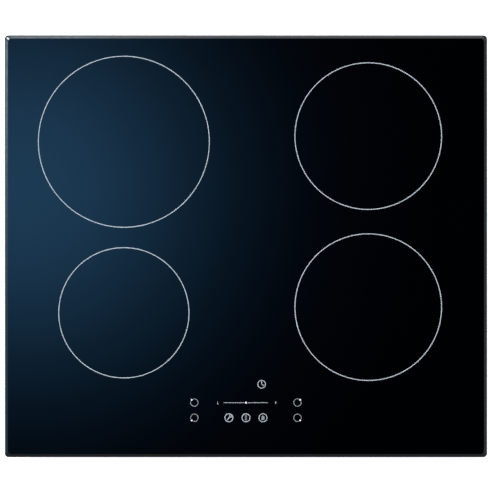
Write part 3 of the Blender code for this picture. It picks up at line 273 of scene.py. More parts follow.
def stack_outlines(shape, outlines, steps, centre=(0.0, 0.0)):
    """A closed solid through rounded rectangles, each given as its half sides, corner radius and height."""
    plates = []
    for half_x, half_y, corner, height in outlines:
        known = set(shape.faces)
        made = bmesh.ops.create_grid(shape, x_segments=1, y_segments=1, size=1.0)["verts"]
        bmesh.ops.scale(shape, vec=(half_x, half_y, 1.0), verts=made)
        bmesh.ops.translate(shape, vec=(centre[0], centre[1], height), verts=made)
        bmesh.ops.bevel(shape, geom=made, affect="VERTICES", offset=corner, segments=steps,
                        profile=0.5, material=-1)
        plates.append([face for face in shape.faces if face not in known])
    rims = [sorted({vert for face in plate for vert in face.verts},
                   key=lambda vert: math.atan2(vert.co.y - centre[1], vert.co.x - centre[0]))
            for plate in plates]
    for plate in plates[1:-1]:
        bmesh.ops.delete(shape, geom=plate, context="FACES_ONLY")
    skin = [face for plate in (plates[0], plates[-1]) for face in plate]
    for below, above in zip(rims, rims[1:]):
        skin += [shape.faces.new((below[i - 1], below[i], above[i], above[i - 1])) for i in range(len(below))]
    bmesh.ops.recalc_face_normals(shape, faces=skin)


def start_effect(name, inputs, outputs):
    """A shader node group with its named inputs and outputs, ready for its nodes."""
    effect = bpy.data.node_groups.new(name, "ShaderNodeTree")
    for label, kind, value in inputs:
        socket = effect.interface.new_socket(label, in_out="INPUT", socket_type="NodeSocket" + kind)
        socket.default_value = value
    for label, kind in outputs:
        effect.interface.new_socket(label, in_out="OUTPUT", socket_type="NodeSocket" + kind)
    return effect, effect.nodes.new("NodeGroupInput").outputs, effect.nodes.new("NodeGroupOutput").inputs


# The patchy tone, gloss and fine grain that every made surface has.
surface_drift, entry, leave = start_effect(
    "surface_drift",
    (("Dark", "Color", (0.1, 0.1, 0.1, 1.0)), ("Light", "Color", (0.2, 0.2, 0.2, 1.0)),
     ("Smooth", "Float", 0.3), ("Rough", "Float", 0.5),
     ("Patch Scale", "Float", 30.0), ("Grain Scale", "Float", 900.0)),
    (("Colour", "Color"), ("Roughness", "Float"), ("Grain", "Float")))
place = add_node(surface_drift, "TexCoord").outputs["Object"]
patches = add_node(surface_drift, "TexNoise", {"Vector": place, "Scale": entry["Patch Scale"], "Detail": 4.0})
spread = add_node(surface_drift, "MapRange", {0: patches.outputs[0], 1: 0.3, 2: 0.7}).outputs[0]
tone = add_node(surface_drift, "MixRGB", {0: spread, 1: entry["Dark"], 2: entry["Light"]})
finer = sum_of(surface_drift, "MULTIPLY", entry["Patch Scale"], 3.7)
scuffs = add_node(surface_drift, "TexNoise", {"Vector": place, "Scale": finer, "Detail": 5.0})
gloss_drift = add_node(surface_drift, "MapRange", {0: scuffs.outputs[0], 1: 0.35, 2: 0.65,
                                                   3: entry["Smooth"], 4: entry["Rough"]})
grain = add_node(surface_drift, "TexNoise", {"Vector": place, "Scale": entry["Grain Scale"], "Detail": 2.0})
surface_drift.links.new(tone.outputs[0], leave["Colour"])
surface_drift.links.new(gloss_drift.outputs[0], leave["Roughness"])
surface_drift.links.new(grain.outputs[0], leave["Grain"])


def add_drift(tree, dark, light, smooth, rough, patch, grain):
    """The wandering surface in a material: its colour, roughness and grain."""
    return add_node(tree, "Group", {"Dark": (*dark, 1.0), "Light": (*light, 1.0), "Smooth": smooth,
                                    "Rough": rough, "Patch Scale": patch, "Grain Scale": grain},
                    node_tree=surface_drift).outputs[:3]


def lay_finish(tree, gloss, tone, shine, height, bump, depth, metal):
    """A material's colour, roughness and relief led to its shader."""
    relief = add_node(tree, "Bump", {"Height": height, "Strength": bump, "Distance": depth})
    for source, socket in ((tone, "Base Color"), (shine, "Roughness"), (relief.outputs[0], "Normal")):
        tree.links.new(source, gloss.inputs[socket])
    gloss.inputs["Metallic"].default_value = metal


def drifting_finish(name, dark, light, smooth, rough, patch, grain, bump, metal=0.0, specular=0.5):
    """A finish whose tone and gloss wander between two values, over a fine grain."""
    made, tree, gloss = start_finish(name)
    tone, shine, height = add_drift(tree, dark, light, smooth, rough, patch, grain)
    lay_finish(tree, gloss, tone, shine, height, bump, 0.0003, metal)
    gloss.inputs["Specular IOR Level"].default_value = specular
    return made


def finish_piece(name, shape, body, finishes, stands_for=(), crease=30.0):
    """The bmesh as a finished piece: its material, its body, and the nodes that it stands for."""
    mesh = bpy.data.meshes.new(name)
    shape.to_mesh(mesh)
    shape.free()
    for finish in finishes:
        mesh.materials.append(finish)
    mesh.shade_smooth()
    mesh.set_sharp_from_angle(angle=math.radians(crease))
    piece = bpy.data.objects.new(name, mesh)
    bpy.context.scene.collection.objects.link(piece)
    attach(piece, body)
    if stands_for:
        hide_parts(*stands_for)
    return piece


def cut_from(shape, cutter, operation="DIFFERENCE"):
    """The shape with the cutter taken away from it, or joined to it."""
    pair = []
    for label, part in (("cut_shape", shape), ("cut_tool", cutter)):
        mesh = bpy.data.meshes.new(label)
        part.to_mesh(mesh)
        part.free()
        pair.append(bpy.data.objects.new(label, mesh))
        bpy.context.scene.collection.objects.link(pair[-1])
    boolean = pair[0].modifiers.new("cut", "BOOLEAN")
    boolean.operation = operation
    boolean.solver = "EXACT"
    boolean.object = pair[1]
    result = bpy.data.meshes.new_from_object(pair[0].evaluated_get(bpy.context.evaluated_depsgraph_get()))
    joined = bmesh.new()
    joined.from_mesh(result)
    for part in pair:
        bpy.data.objects.remove(part)
    bpy.data.meshes.remove(result)
    return joined


def add_turned(shape, section, centre=(0.0, 0.0, 0.0), steps=28):
    """A shape turned about an upright axis, from points given as radius and height."""
    verts = [shape.verts.new((radius, 0.0, height)) for radius, height in section]
    edges = [shape.edges.new(pair) for pair in zip(verts, verts[1:])]
    if section[0][0] > 0.0:
        edges.append(shape.edges.new((verts[-1], verts[0])))
    known = set(shape.verts) - set(verts)
    bmesh.ops.spin(shape, geom=verts + edges, cent=(0.0, 0.0, 0.0), axis=(0.0, 0.0, 1.0),
                   angle=2 * math.pi, steps=steps, use_merge=True)
    bmesh.ops.remove_doubles(shape, verts=added_since(shape, known), dist=1e-6)
    made = added_since(shape, known)
    bmesh.ops.recalc_face_normals(shape, faces=list({face for vert in made for face in vert.link_faces}))
    bmesh.ops.translate(shape, verts=made, vec=centre)
    return made


def add_block(shape, low, high, edge=0.0, steps=2):
    """A box between two corners, its edges rounded."""
    low, high = Vector(low), Vector(high)
    size = high - low
    made = bmesh.ops.create_cube(shape, size=1.0)["verts"]
    bmesh.ops.scale(shape, vec=size, verts=made)
    bmesh.ops.translate(shape, vec=(low + high) / 2, verts=made)
    if edge > 0.0:
        edges = list({side for vert in made for side in vert.link_edges})
        bmesh.ops.bevel(shape, geom=edges, affect="EDGES", offset=edge, segments=steps, profile=0.5,
                        material=-1)


def add_rod(shape, start, end, radius, steps=20):
    """A round bar between two points."""
    run = Vector(end) - Vector(start)
    made = bmesh.ops.create_cone(shape, cap_ends=True, segments=steps, radius1=radius, radius2=radius,
                                 depth=run.length)["verts"]
    bmesh.ops.rotate(shape, verts=made, cent=(0.0, 0.0, 0.0),
                     matrix=run.to_track_quat("Z", "Y").to_matrix())
    bmesh.ops.translate(shape, verts=made, vec=(Vector(start) + Vector(end)) / 2)


# Zinc crystals: each grain of the coating has its own grey.
zinc_spangle, entry, leave = start_effect(
    "zinc_spangle", (("Crystal Scale", "Float", 90.0), ("Strength", "Float", 0.5)), (("Tone", "Float"),))
place = add_node(zinc_spangle, "TexCoord").outputs["Object"]
warp = add_node(zinc_spangle, "TexNoise", {"Vector": place, "Scale": 160.0, "Detail": 2.0})
nudge = add_node(zinc_spangle, "VectorMath", {0: warp.outputs[1], 1: (0.006, 0.006, 0.006)},
                 operation="MULTIPLY")
nudged = add_node(zinc_spangle, "VectorMath", {0: place, 1: nudge.outputs[0]}, operation="ADD")
crystals = add_node(zinc_spangle, "TexVoronoi", {"Vector": nudged.outputs[0],
                                                 "Scale": entry["Crystal Scale"]})
single = add_node(zinc_spangle, "SeparateColor", {0: crystals.outputs["Color"]})
centred = sum_of(zinc_spangle, "SUBTRACT", single.outputs[0], 0.5)
scaled = sum_of(zinc_spangle, "MULTIPLY", centred, entry["Strength"])
zinc_spangle.links.new(sum_of(zinc_spangle, "ADD", scaled, 0.5), leave["Tone"])


def zinc_finish(name, dark, light, smooth, rough, crystal, strength):
    """Zinc-coated steel: crystals in tone and gloss over a wandering grey."""
    made, tree, gloss = start_finish(name)
    colour, dull, height = add_drift(tree, dark, light, smooth, rough, 14.0, 700.0)
    spangle = add_node(tree, "Group", {"Crystal Scale": crystal, "Strength": strength},
                       node_tree=zinc_spangle).outputs["Tone"]
    tone = add_node(tree, "MixRGB", {0: 1.0, 1: colour, 2: spangle}, blend_type="OVERLAY")
    shine = add_node(tree, "Math", {0: spangle, 1: 0.12, 2: dull}, operation="MULTIPLY_ADD")
    lay_finish(tree, gloss, tone.outputs[0], shine.outputs[0], height, 0.08, 0.0003, 1.0)
    return made


zinc_sheet = zinc_finish("zinc_coated_sheet", (0.34, 0.35, 0.36), (0.43, 0.44, 0.45),
                         0.30, 0.42, 240.0, 0.17)
bright_zinc = zinc_finish("bright_zinc_plate", (0.52, 0.52, 0.53), (0.64, 0.64, 0.65),
                          0.20, 0.32, 400.0, 0.15)


def sheet_outline(side_x, side_y, corner, inset, height):
    """Half sides, corner and height of a pressing's outline drawn in by an inset."""
    return side_x - inset, side_y - inset, max(corner - inset, LEAST_CORNER), height


def sheet_bend(side_x, side_y, corner, inset, level, radius, outward=False, falling=False):
    """The outlines up, or down, one rounded bend of the sheet."""
    bend = []
    for step in range(BEND_STEPS + 1):
        turn = math.pi / 2 * step / BEND_STEPS
        run, rise = radius * (1 - math.sin(turn)), radius * (1 - math.cos(turn))
        if outward:
            run, rise = -rise, -run
        bend.append(sheet_outline(side_x, side_y, corner, inset + run, level + rise))
    return bend[::-1] if falling else bend


well_x, well_y = WALL_X - SHELF_WIDTH, WALL_Y - SHELF_WIDTH
shelf_top = SHELF_UNDER + SHEET
floor_top = FLOOR_UNDER + SHEET
tight = BEND - SHEET
well, wall = (well_x, well_y, WELL_CORNER), (WALL_X, WALL_Y, WALL_CORNER)
press = sheet_bend(*well, WELL_DRAFT, FLOOR_UNDER, BEND)
press += sheet_bend(*well, 0.0, SHELF_UNDER, tight, outward=True)
press += sheet_bend(*wall, 0.0, SHELF_UNDER, BEND)
for inset, drop in ((0.0, RIM_EDGE), (RIM_EDGE, 0.0), (SHEET - RIM_EDGE, 0.0), (SHEET, RIM_EDGE)):
    press.append(sheet_outline(*wall, inset, RIM_TOP - drop))
press += sheet_bend(*wall, SHEET, shelf_top, tight, falling=True)
press += sheet_bend(*well, SHEET, shelf_top, BEND, outward=True, falling=True)
press += sheet_bend(*well, WELL_DRAFT + SHEET, floor_top, tight, falling=True)
pressing = bmesh.new()
stack_outlines(pressing, press, SHEET_CORNER_STEPS)

stamped = bmesh.new()
for side in (-1, 1):
    for end in (-1, 1):
        add_turned(stamped, FOOT_SECTION,
                   (side * (well_x - FOOT_FROM_WELL), end * (well_y - FOOT_FROM_WELL), 0.0), 36)
for x, y, half in FLOOR_BEADS:
    stack_outlines(stamped, [
        (half - inset, BEAD_HALF_WIDTH - inset, BEAD_HALF_WIDTH - inset - ROUND_GAP, FLOOR_UNDER + rise)
        for inset, rise in ((0.002, -BEAD_DROP), (0.0008, -BEAD_DROP * 0.8), (0.0, SHEET / 2))], 6, (x, y))
pressing = cut_from(pressing, stamped, "UNION")

slots = bmesh.new()
rows = int(INTAKE_RADIUS / INTAKE_PITCH)
for side in (-1, 1):
    for row in range(-rows, rows + 1):
        half = math.sqrt(INTAKE_RADIUS ** 2 - (row * INTAKE_PITCH) ** 2)
        outline = (INTAKE_SLOT / 2, half, INTAKE_SLOT / 2 - ROUND_GAP)
        stack_outlines(slots, [(*outline, FLOOR_UNDER - SHEET), (*outline, floor_top + SHEET)], 6,
                       (side * INTAKE_CENTRE[0] + row * INTAKE_PITCH, INTAKE_CENTRE[1]))
    for number in range(EXHAUST_SLOTS):
        x = side * INTAKE_CENTRE[0] + (number - (EXHAUST_SLOTS - 1) / 2) * EXHAUST_PITCH
        known = set(slots.verts)
        half = (EXHAUST_HEIGHTS[1] - EXHAUST_HEIGHTS[0]) / 2
        stack_outlines(slots, [(EXHAUST_WIDTH / 2, half, EXHAUST_WIDTH / 2 - ROUND_GAP, depth)
                               for depth in (-4 * SHEET, 4 * SHEET)], 6)
        made = added_since(slots, known)
        turn_points(slots, made, math.pi / 2, "X")
        bmesh.ops.translate(slots, verts=made, vec=(x, -well_y + WELL_DRAFT / 2, sum(EXHAUST_HEIGHTS) / 2))
    for end in (-1, 1):
        add_rod(slots, (side * CLAMP_PIVOT[0], end * CLAMP_PIVOT[1], SHELF_UNDER - SHEET),
                (side * CLAMP_PIVOT[0], end * CLAMP_PIVOT[1], shelf_top + SHEET), SCREW_HOLE)
add_rod(slots, (0.0, well_y - WELL_DRAFT - 3 * SHEET, INLET_HEIGHT),
        (0.0, well_y + 3 * SHEET, INLET_HEIGHT), WIRE_HOLE)
bmesh.ops.recalc_face_normals(slots, faces=slots.faces)
pressing = cut_from(pressing, slots)
finish_piece("housing_pressing", pressing, "hob_body", (zinc_sheet,), ("bottom_housing",))

# Housing screws. Zinc-plated cross-head screws: two or three through each wall into the frame, and a row
# under the floor into the insulating tray.
SCREW_SECTION = ((0.0, 0.0017), (0.0012, 0.00165), (0.0024, 0.0013), (0.0031, 0.0007), (0.0033, 0.0001),
                 (0.0033, -0.0002), (0.0, -0.0002))
CROSS_ARM = 0.0019
CROSS_HALF = 0.0003
CROSS_FLOOR = 0.0008
WALL_SCREW_HEIGHT = 0.0425
WALL_SCREWS = (-0.6, 0.0, 0.6)      # along each wall, as a share of its half length
FLOOR_SCREWS = ((-0.20, -0.105), (0.20, -0.105), (-0.085, -0.178), (0.085, -0.178),
                (-0.045, 0.180), (0.045, 0.180))


def add_screw(shape, centre, turn, roll=0.0):
    """A domed cross-head screw, lying the way that the turn gives."""
    head = bmesh.new()
    add_turned(head, SCREW_SECTION, steps=24)
    for half_x, half_y in ((CROSS_ARM, CROSS_HALF), (CROSS_HALF, CROSS_ARM)):
        arm = bmesh.new()
        add_block(arm, (-half_x, -half_y, CROSS_FLOOR), (half_x, half_y, 2 * CROSS_ARM))
        head = cut_from(head, arm)
    bmesh.ops.transform(head, matrix=Matrix.Translation(centre) @ turn @ Matrix.Rotation(roll, 4, "Z"),
                        verts=head.verts)
    mesh = bpy.data.meshes.new("screw")
    head.to_mesh(mesh)
    head.free()
    shape.from_mesh(mesh)
    bpy.data.meshes.remove(mesh)


screws = bmesh.new()
for number, share in enumerate(WALL_SCREWS):
    for side in (-1, 1):
        add_screw(screws, (side * WALL_X, share * WALL_Y, WALL_SCREW_HEIGHT),
                  Matrix.Rotation(side * math.pi / 2, 4, "Y"), 0.5 + number + side)
        add_screw(screws, (share * WALL_X, side * WALL_Y, WALL_SCREW_HEIGHT),
                  Matrix.Rotation(-side * math.pi / 2, 4, "X"), 0.9 * number - side)
for number, (x, y) in enumerate(FLOOR_SCREWS):
    add_screw(screws, (x, y, FLOOR_UNDER), Matrix.Rotation(math.pi, 4, "X"), 0.7 * number)
finish_piece("housing_screws", screws, "hob_body", (bright_zinc,))

# Insulating tray. Black flame-proof plastic, moulded in one piece with the posts that the boards and the
# inner springs stand on. It lies on the floor of the housing and is screwed to it from below.
black_moulding = drifting_finish("black_moulding", (0.012, 0.012, 0.013), (0.022, 0.022, 0.024), 0.42, 0.58,
                                 35.0, 1100.0, 0.25)


def finish_nodes(finish, *names):
    """The finish of pieces whose CAD shape is kept."""
    for name in names:
        frame["nodes"][name].material_slots[0].material = finish


finish_nodes(black_moulding, "insulating_tray")

# Power boards. A green board under each pair of zones with its soldered parts: rectifier and transistors
# under the heat sink, blue film capacitors, a transformer, black electrolytic capacitors and white plugs.
BOARD_THICK = 0.0016
BOARD_CORNER = 0.002
PART_TOP = 0.0312
SEAT = 0.0002           # a soldered part's foot over its board
CHIP_ROWS = (-0.045, 0.0, 0.045)
LEG_PITCH = 0.0054
LEG_RUN = (0.0075, 0.0125)
LEG_HEIGHT = 0.002
LEG_RADIUS = 0.0006
CAPACITOR_ROWS = (-0.070, -0.035, 0.045)
PLUG_ROWS = (-0.100, 0.095)
PLUG_PINS = 9
PIN_PITCH = 0.005
CAN_PLACES = ((-0.060, -0.070), (-0.060, 0.060))
board_green = drifting_finish("solder_mask", (0.010, 0.085, 0.035), (0.018, 0.135, 0.058), 0.28, 0.42,
                              22.0, 420.0, 0.15)
film_blue = drifting_finish("film_capacitor_case", (0.02, 0.07, 0.30), (0.03, 0.10, 0.40), 0.3, 0.4,
                            60.0, 900.0, 0.1)
chip_black = drifting_finish("moulded_chip", (0.014, 0.014, 0.015), (0.024, 0.024, 0.026), 0.5, 0.65,
                             90.0, 2000.0, 0.3)
white_moulding = drifting_finish("white_moulding", (0.66, 0.65, 0.60), (0.76, 0.75, 0.70), 0.4, 0.5,
                                 40.0, 1000.0, 0.15)
tin_bright = drifting_finish("tinned_metal", (0.55, 0.55, 0.54), (0.70, 0.70, 0.69), 0.2, 0.35, 80.0, 900.0,
                             0.1, metal=1.0)


def board_plate(name, node):
    """A board's bare plate in its node's place, and the middle of its upper face."""
    low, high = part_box(node)
    middle = Vector(((low.x + high.x) / 2, (low.y + high.y) / 2, low.z + BOARD_THICK))
    plate = bmesh.new()
    stack_outlines(plate, [((high.x - low.x) / 2, (high.y - low.y) / 2, BOARD_CORNER, level)
                           for level in (low.z, middle.z)], 4, middle[:2])
    finish_piece(name, plate, "hob_body", (board_green,), (node,))
    return middle


def finish_parts(name, shape, middle, finish):
    """Soldered parts, drawn about their board's middle and set down on it."""
    bmesh.ops.translate(shape, verts=shape.verts, vec=middle)
    bmesh.ops.recalc_face_normals(shape, faces=shape.faces)
    finish_piece(name, shape, "hob_body", (finish,))


for side in ("left", "right"):
    board_middle = board_plate(f"power_board_plate_{side}", f"power_board_{side}")
    tall = PART_TOP - board_middle.z
    parts = {"chips": (bmesh.new(), chip_black), "film_capacitors": (bmesh.new(), film_blue),
             "plugs": (bmesh.new(), white_moulding), "cans": (bmesh.new(), black_moulding),
             "transformer": (bmesh.new(), chip_black), "solder_legs": (bmesh.new(), tin_bright)}
    legs = parts["solder_legs"][0]
    for y in CHIP_ROWS:
        add_block(parts["chips"][0], (-0.008, y - 0.010, 0.0003), (0.008, y + 0.010, 0.004), 0.0005)
        for leg in (y - LEG_PITCH, y, y + LEG_PITCH):
            knee = (LEG_RUN[1], leg, LEG_HEIGHT)
            add_rod(legs, (LEG_RUN[0], leg, LEG_HEIGHT), knee, LEG_RADIUS, 8)
            add_rod(legs, (LEG_RUN[1], leg, LEG_HEIGHT + SEAT), (LEG_RUN[1], leg, 0.0), LEG_RADIUS, 8)
    for y in CAPACITOR_ROWS:
        add_block(parts["film_capacitors"][0], (0.045, y - 0.014, SEAT), (0.068, y + 0.014, tall), 0.0012, 3)
    core = parts["transformer"][0]
    add_block(core, (-0.072, -0.028, SEAT), (-0.048, 0.026, tall - 0.002), 0.0015, 3)
    add_block(core, (-0.074, -0.014, SEAT), (-0.046, 0.012, tall), 0.001, 2)
    for y in PLUG_ROWS:
        add_block(parts["plugs"][0], (-0.020, y - 0.006, 0.0001), (0.030, y + 0.006, 0.009), 0.0006)
        for pin in range(PLUG_PINS):
            x = -0.015 + pin * PIN_PITCH
            add_rod(legs, (x, y, 0.008), (x, y, 0.0100), 0.0007, 8)
    for x, y in CAN_PLACES:
        add_turned(parts["cans"][0], ((0.0, 0.0), (0.0104, 0.0), (0.0110, 0.0008), (0.0110, 0.0026),
                                      (0.0105, 0.0032), (0.0110, 0.0038), (0.0110, tall - 0.001),
                                      (0.0102, tall), (0.0092, tall - 0.0003), (0.0, tall - 0.0003)),
                   (x, y, 0.0), 32)
    for label, (shape, finish) in parts.items():
        finish_parts(f"power_{label}_{side}", shape, board_middle, finish)

# Heat sinks. Extruded aluminium combs that lie on the transistors of each power board, with their fins along
# the air stream of the blower behind.
drawn_streaks, entry, leave = start_effect(
    "drawn_streaks", (("Stretch", "Vector", (1.0, 0.03, 1.0)), ("Scale", "Float", 900.0)),
    (("Streak", "Float"),))
place = add_node(drawn_streaks, "TexCoord").outputs["Object"]
stretched = add_node(drawn_streaks, "VectorMath", {0: place, 1: entry["Stretch"]}, operation="MULTIPLY")
streaks = add_node(drawn_streaks, "TexNoise", {"Vector": stretched.outputs[0], "Scale": entry["Scale"],
                                               "Detail": 4.0})
drawn_streaks.links.new(streaks.outputs[0], leave["Streak"])


def drawn_finish(name, dark, light, rough, stretch, metal=1.0):
    """Drawn or rolled metal: fine lines along one direction."""
    made, tree, gloss = start_finish(name)
    lines = add_node(tree, "Group", {"Stretch": stretch, "Scale": 900.0}, node_tree=drawn_streaks)
    tone = add_node(tree, "MixRGB", {0: lines.outputs[0], 1: (*dark, 1.0), 2: (*light, 1.0)})
    shine = add_node(tree, "MapRange", {0: lines.outputs[0], 3: rough - 0.08, 4: rough + 0.08})
    lay_finish(tree, gloss, tone.outputs[0], shine.outputs[0], lines.outputs[0], 0.12, 0.0002, metal)
    return made


drawn_aluminium = drawn_finish("drawn_aluminium", (0.62, 0.63, 0.64), (0.78, 0.79, 0.80), 0.34,
                               (1.0, 0.03, 1.0))
rolled_aluminium = drawn_finish("rolled_aluminium", (0.46, 0.465, 0.47), (0.56, 0.565, 0.57), 0.44,
                                (0.03, 1.0, 1.0))
finish_nodes(drawn_aluminium, "heat_sink_left", "heat_sink_right")

# Filter board. The mains enters here, through two yellow filter capacitors, plugs and a ring choke wound
# with enamelled copper.
filter_yellow = drifting_finish("filter_capacitor_case", (0.55, 0.38, 0.06), (0.68, 0.48, 0.09), 0.35, 0.45,
                                60.0, 900.0, 0.1)
FILTER_CASE_X = 0.018
board_middle = board_plate("filter_board_plate", "filter_board")
cases = bmesh.new()
for x in (-FILTER_CASE_X, FILTER_CASE_X):
    add_block(cases, (x - 0.013, -0.045, SEAT), (x + 0.013, -0.022, 0.015), 0.001, 3)
finish_parts("filter_capacitors", cases, board_middle, filter_yellow)
plugs = bmesh.new()
add_block(plugs, (-0.030, 0.060, SEAT), (0.030, 0.072, 0.010), 0.0006)
add_block(plugs, (-0.024, -0.074, SEAT), (0.024, -0.064, 0.008), 0.0006)
finish_parts("filter_plugs", plugs, board_middle, white_moulding)


def add_drawn(shape, curve):
    """A curve's or a digit's surface added to a shape, and its points."""
    known = set(shape.verts)
    drawn = bpy.data.objects.new("drawn", curve)
    bpy.context.scene.collection.objects.link(drawn)
    mesh = bpy.data.meshes.new_from_object(drawn.evaluated_get(bpy.context.evaluated_depsgraph_get()))
    shape.from_mesh(mesh)
    bpy.data.batch_remove((drawn, curve, mesh))
    bmesh.ops.remove_doubles(shape, verts=added_since(shape, known), dist=1e-7)
    return added_since(shape, known)


def wire_piece(name, routes, radius, body, finish, stands_for=(), closed=False, sides=2):
    """Round wire along one or more routes, as a mesh in its place."""
    wire = bpy.data.curves.new(name, "CURVE")
    wire.dimensions = "3D"
    wire.bevel_depth = radius
    wire.bevel_resolution = sides
    wire.use_fill_caps = True
    for route in routes:
        spline = wire.splines.new("POLY")
        spline.points.add(len(route) - 1)
        for point, spot in zip(spline.points, route):
            point.co = (*spot, 1.0)
        spline.use_cyclic_u = closed
    shape = bmesh.new()
    add_drawn(shape, wire)
    bmesh.ops.recalc_face_normals(shape, faces=shape.faces)
    return finish_piece(name, shape, body, (finish,), stands_for, crease=60.0)


# Twisted strands: fine slanting lines round a bundle of wire.
def litz_finish(name, dark, light, strand_scale):
    """Enamelled copper strands."""
    made, tree, gloss = start_finish(name)
    place = add_node(tree, "TexCoord").outputs["Object"]
    strands = add_node(tree, "TexNoise", {"Vector": place, "Scale": strand_scale, "Detail": 3.0,
                                          "Distortion": 1.5})
    tone, shine, _ = add_drift(tree, dark, light, 0.25, 0.42, 50.0, 1400.0)
    lay_finish(tree, gloss, tone, shine, strands.outputs[0], 0.4, 0.0004, 0.85)
    return made


litz_copper = litz_finish("litz_copper", (0.42, 0.17, 0.07), (0.66, 0.30, 0.13), 1500.0)
choke_low, choke_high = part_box("filter_choke")
choke_middle = (choke_low + choke_high) / 2
CHOKE_WIRE = 0.0009
CHOKE_TURNS = 34
TURN_STEPS = 14
CHOKE_OUTER, CHOKE_INNER = 0.019, 0.008
CHOKE_HALF_HEIGHT = 0.008
SQUARENESS = 1.25       # how far each turn bulges towards the core's corners
choke_ring = (CHOKE_OUTER + CHOKE_INNER) / 2
choke_half = (CHOKE_OUTER - CHOKE_INNER) / 2
core_bore, core_rim = CHOKE_INNER + 0.0016, CHOKE_OUTER - 0.0020
core = bmesh.new()
add_turned(core, ((core_bore, -0.0060), (core_rim - 0.0004, -0.0060), (core_rim, -0.0056),
                  (core_rim, 0.0056), (core_rim - 0.0004, 0.0060), (core_bore, 0.0060)), choke_middle, 48)
ferrite_dark = drifting_finish("sintered_ferrite", (0.045, 0.045, 0.048), (0.075, 0.075, 0.080), 0.6, 0.75,
                               50.0, 1600.0, 0.35)
finish_piece("choke_core", core, "hob_body", (ferrite_dark,), ("filter_choke",))
route = []
for step in range(CHOKE_TURNS * TURN_STEPS):
    around = 2 * math.pi * step / (CHOKE_TURNS * TURN_STEPS)
    across = 2 * math.pi * step / TURN_STEPS
    out = choke_ring + max(-1.0, min(1.0, SQUARENESS * math.cos(across))) * (choke_half - CHOKE_WIRE)
    rise = max(-1.0, min(1.0, SQUARENESS * math.sin(across))) * (CHOKE_HALF_HEIGHT - CHOKE_WIRE)
    route.append(choke_middle + Vector((out * math.cos(around), out * math.sin(around), rise)))
wire_piece("choke_winding", [route], CHOKE_WIRE, "hob_body", litz_copper, closed=True, sides=1)

# Blowers. A black scroll housing each, and in it a grey wheel of forward-curved blades on a ring and a hub,
# which turns on the steel spindle.
finish_nodes(black_moulding, "fan_housing_left", "fan_housing_right")
grey_moulding = drifting_finish("grey_moulding", (0.20, 0.205, 0.21), (0.27, 0.275, 0.285), 0.4, 0.55,
                                35.0, 1100.0, 0.25)
WHEEL_BLADES = 23
BLADE_SWEEP = 62.0
BLADE_CURVE = 0.011
BLADE_THICK = 0.0009
BLADE_SINK = 0.0004     # how far each blade runs into the wheel's ring and plate
WHEEL_BORE = 0.0018
RING_WIDTH, RING_HEIGHT = 0.0022, 0.0018
for side in ("left", "right"):
    low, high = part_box(f"fan_impeller_{side}")
    axis = Vector(((low.x + high.x) / 2, (low.y + high.y) / 2, 0.0))
    radius = (high.x - low.x) / 2
    tip = radius - 0.0006
    wheel = bmesh.new()
    add_turned(wheel, ((WHEEL_BORE, low.z), (0.0108, low.z), (0.0118, low.z + 0.001),
                       (0.0120, high.z - 0.004), (0.0150, high.z - 0.0016),
                       (radius - 0.0004, high.z - 0.0015), (radius, high.z - 0.0011),
                       (radius, high.z - 0.0004), (radius - 0.0004, high.z), (WHEEL_BORE, high.z)), axis, 64)
    ring_bore = radius - RING_WIDTH
    add_turned(wheel, ((ring_bore, low.z), (radius - 0.0002, low.z), (radius, low.z + 0.0002),
                       (radius, low.z + RING_HEIGHT), (ring_bore, low.z + RING_HEIGHT)), axis, 64)
    for number in range(WHEEL_BLADES):
        known = set(wheel.verts)
        edge = bmesh.ops.create_grid(wheel, x_segments=1, y_segments=1, size=0.5)["verts"]
        height = high.z - low.z - 3 * BLADE_SINK
        bmesh.ops.scale(wheel, vec=(BLADE_THICK, height, 1.0), verts=edge)
        turn_points(wheel, edge, math.pi / 2, "X")
        bmesh.ops.translate(wheel, verts=edge, vec=(tip, 0.0, low.z + BLADE_SINK + height / 2))
        faces = list({face for vert in edge for face in vert.link_faces})
        edges = list({side_edge for vert in edge for side_edge in vert.link_edges})
        bmesh.ops.spin(wheel, geom=edge + edges + faces, axis=(0.0, 0.0, 1.0),
                       cent=(tip - BLADE_CURVE, 0.0, 0.0), angle=math.radians(BLADE_SWEEP), steps=7)
        blade = added_since(wheel, known)
        turn_points(wheel, blade, 2 * math.pi * number / WHEEL_BLADES)
        bmesh.ops.translate(wheel, verts=blade, vec=(axis.x, axis.y, 0.0))
    bmesh.ops.recalc_face_normals(wheel, faces=wheel.faces)
    finish_piece(f"blower_wheel_{side}", wheel, f"blower_{side}", (grey_moulding,),
                 (f"fan_impeller_{side}",))

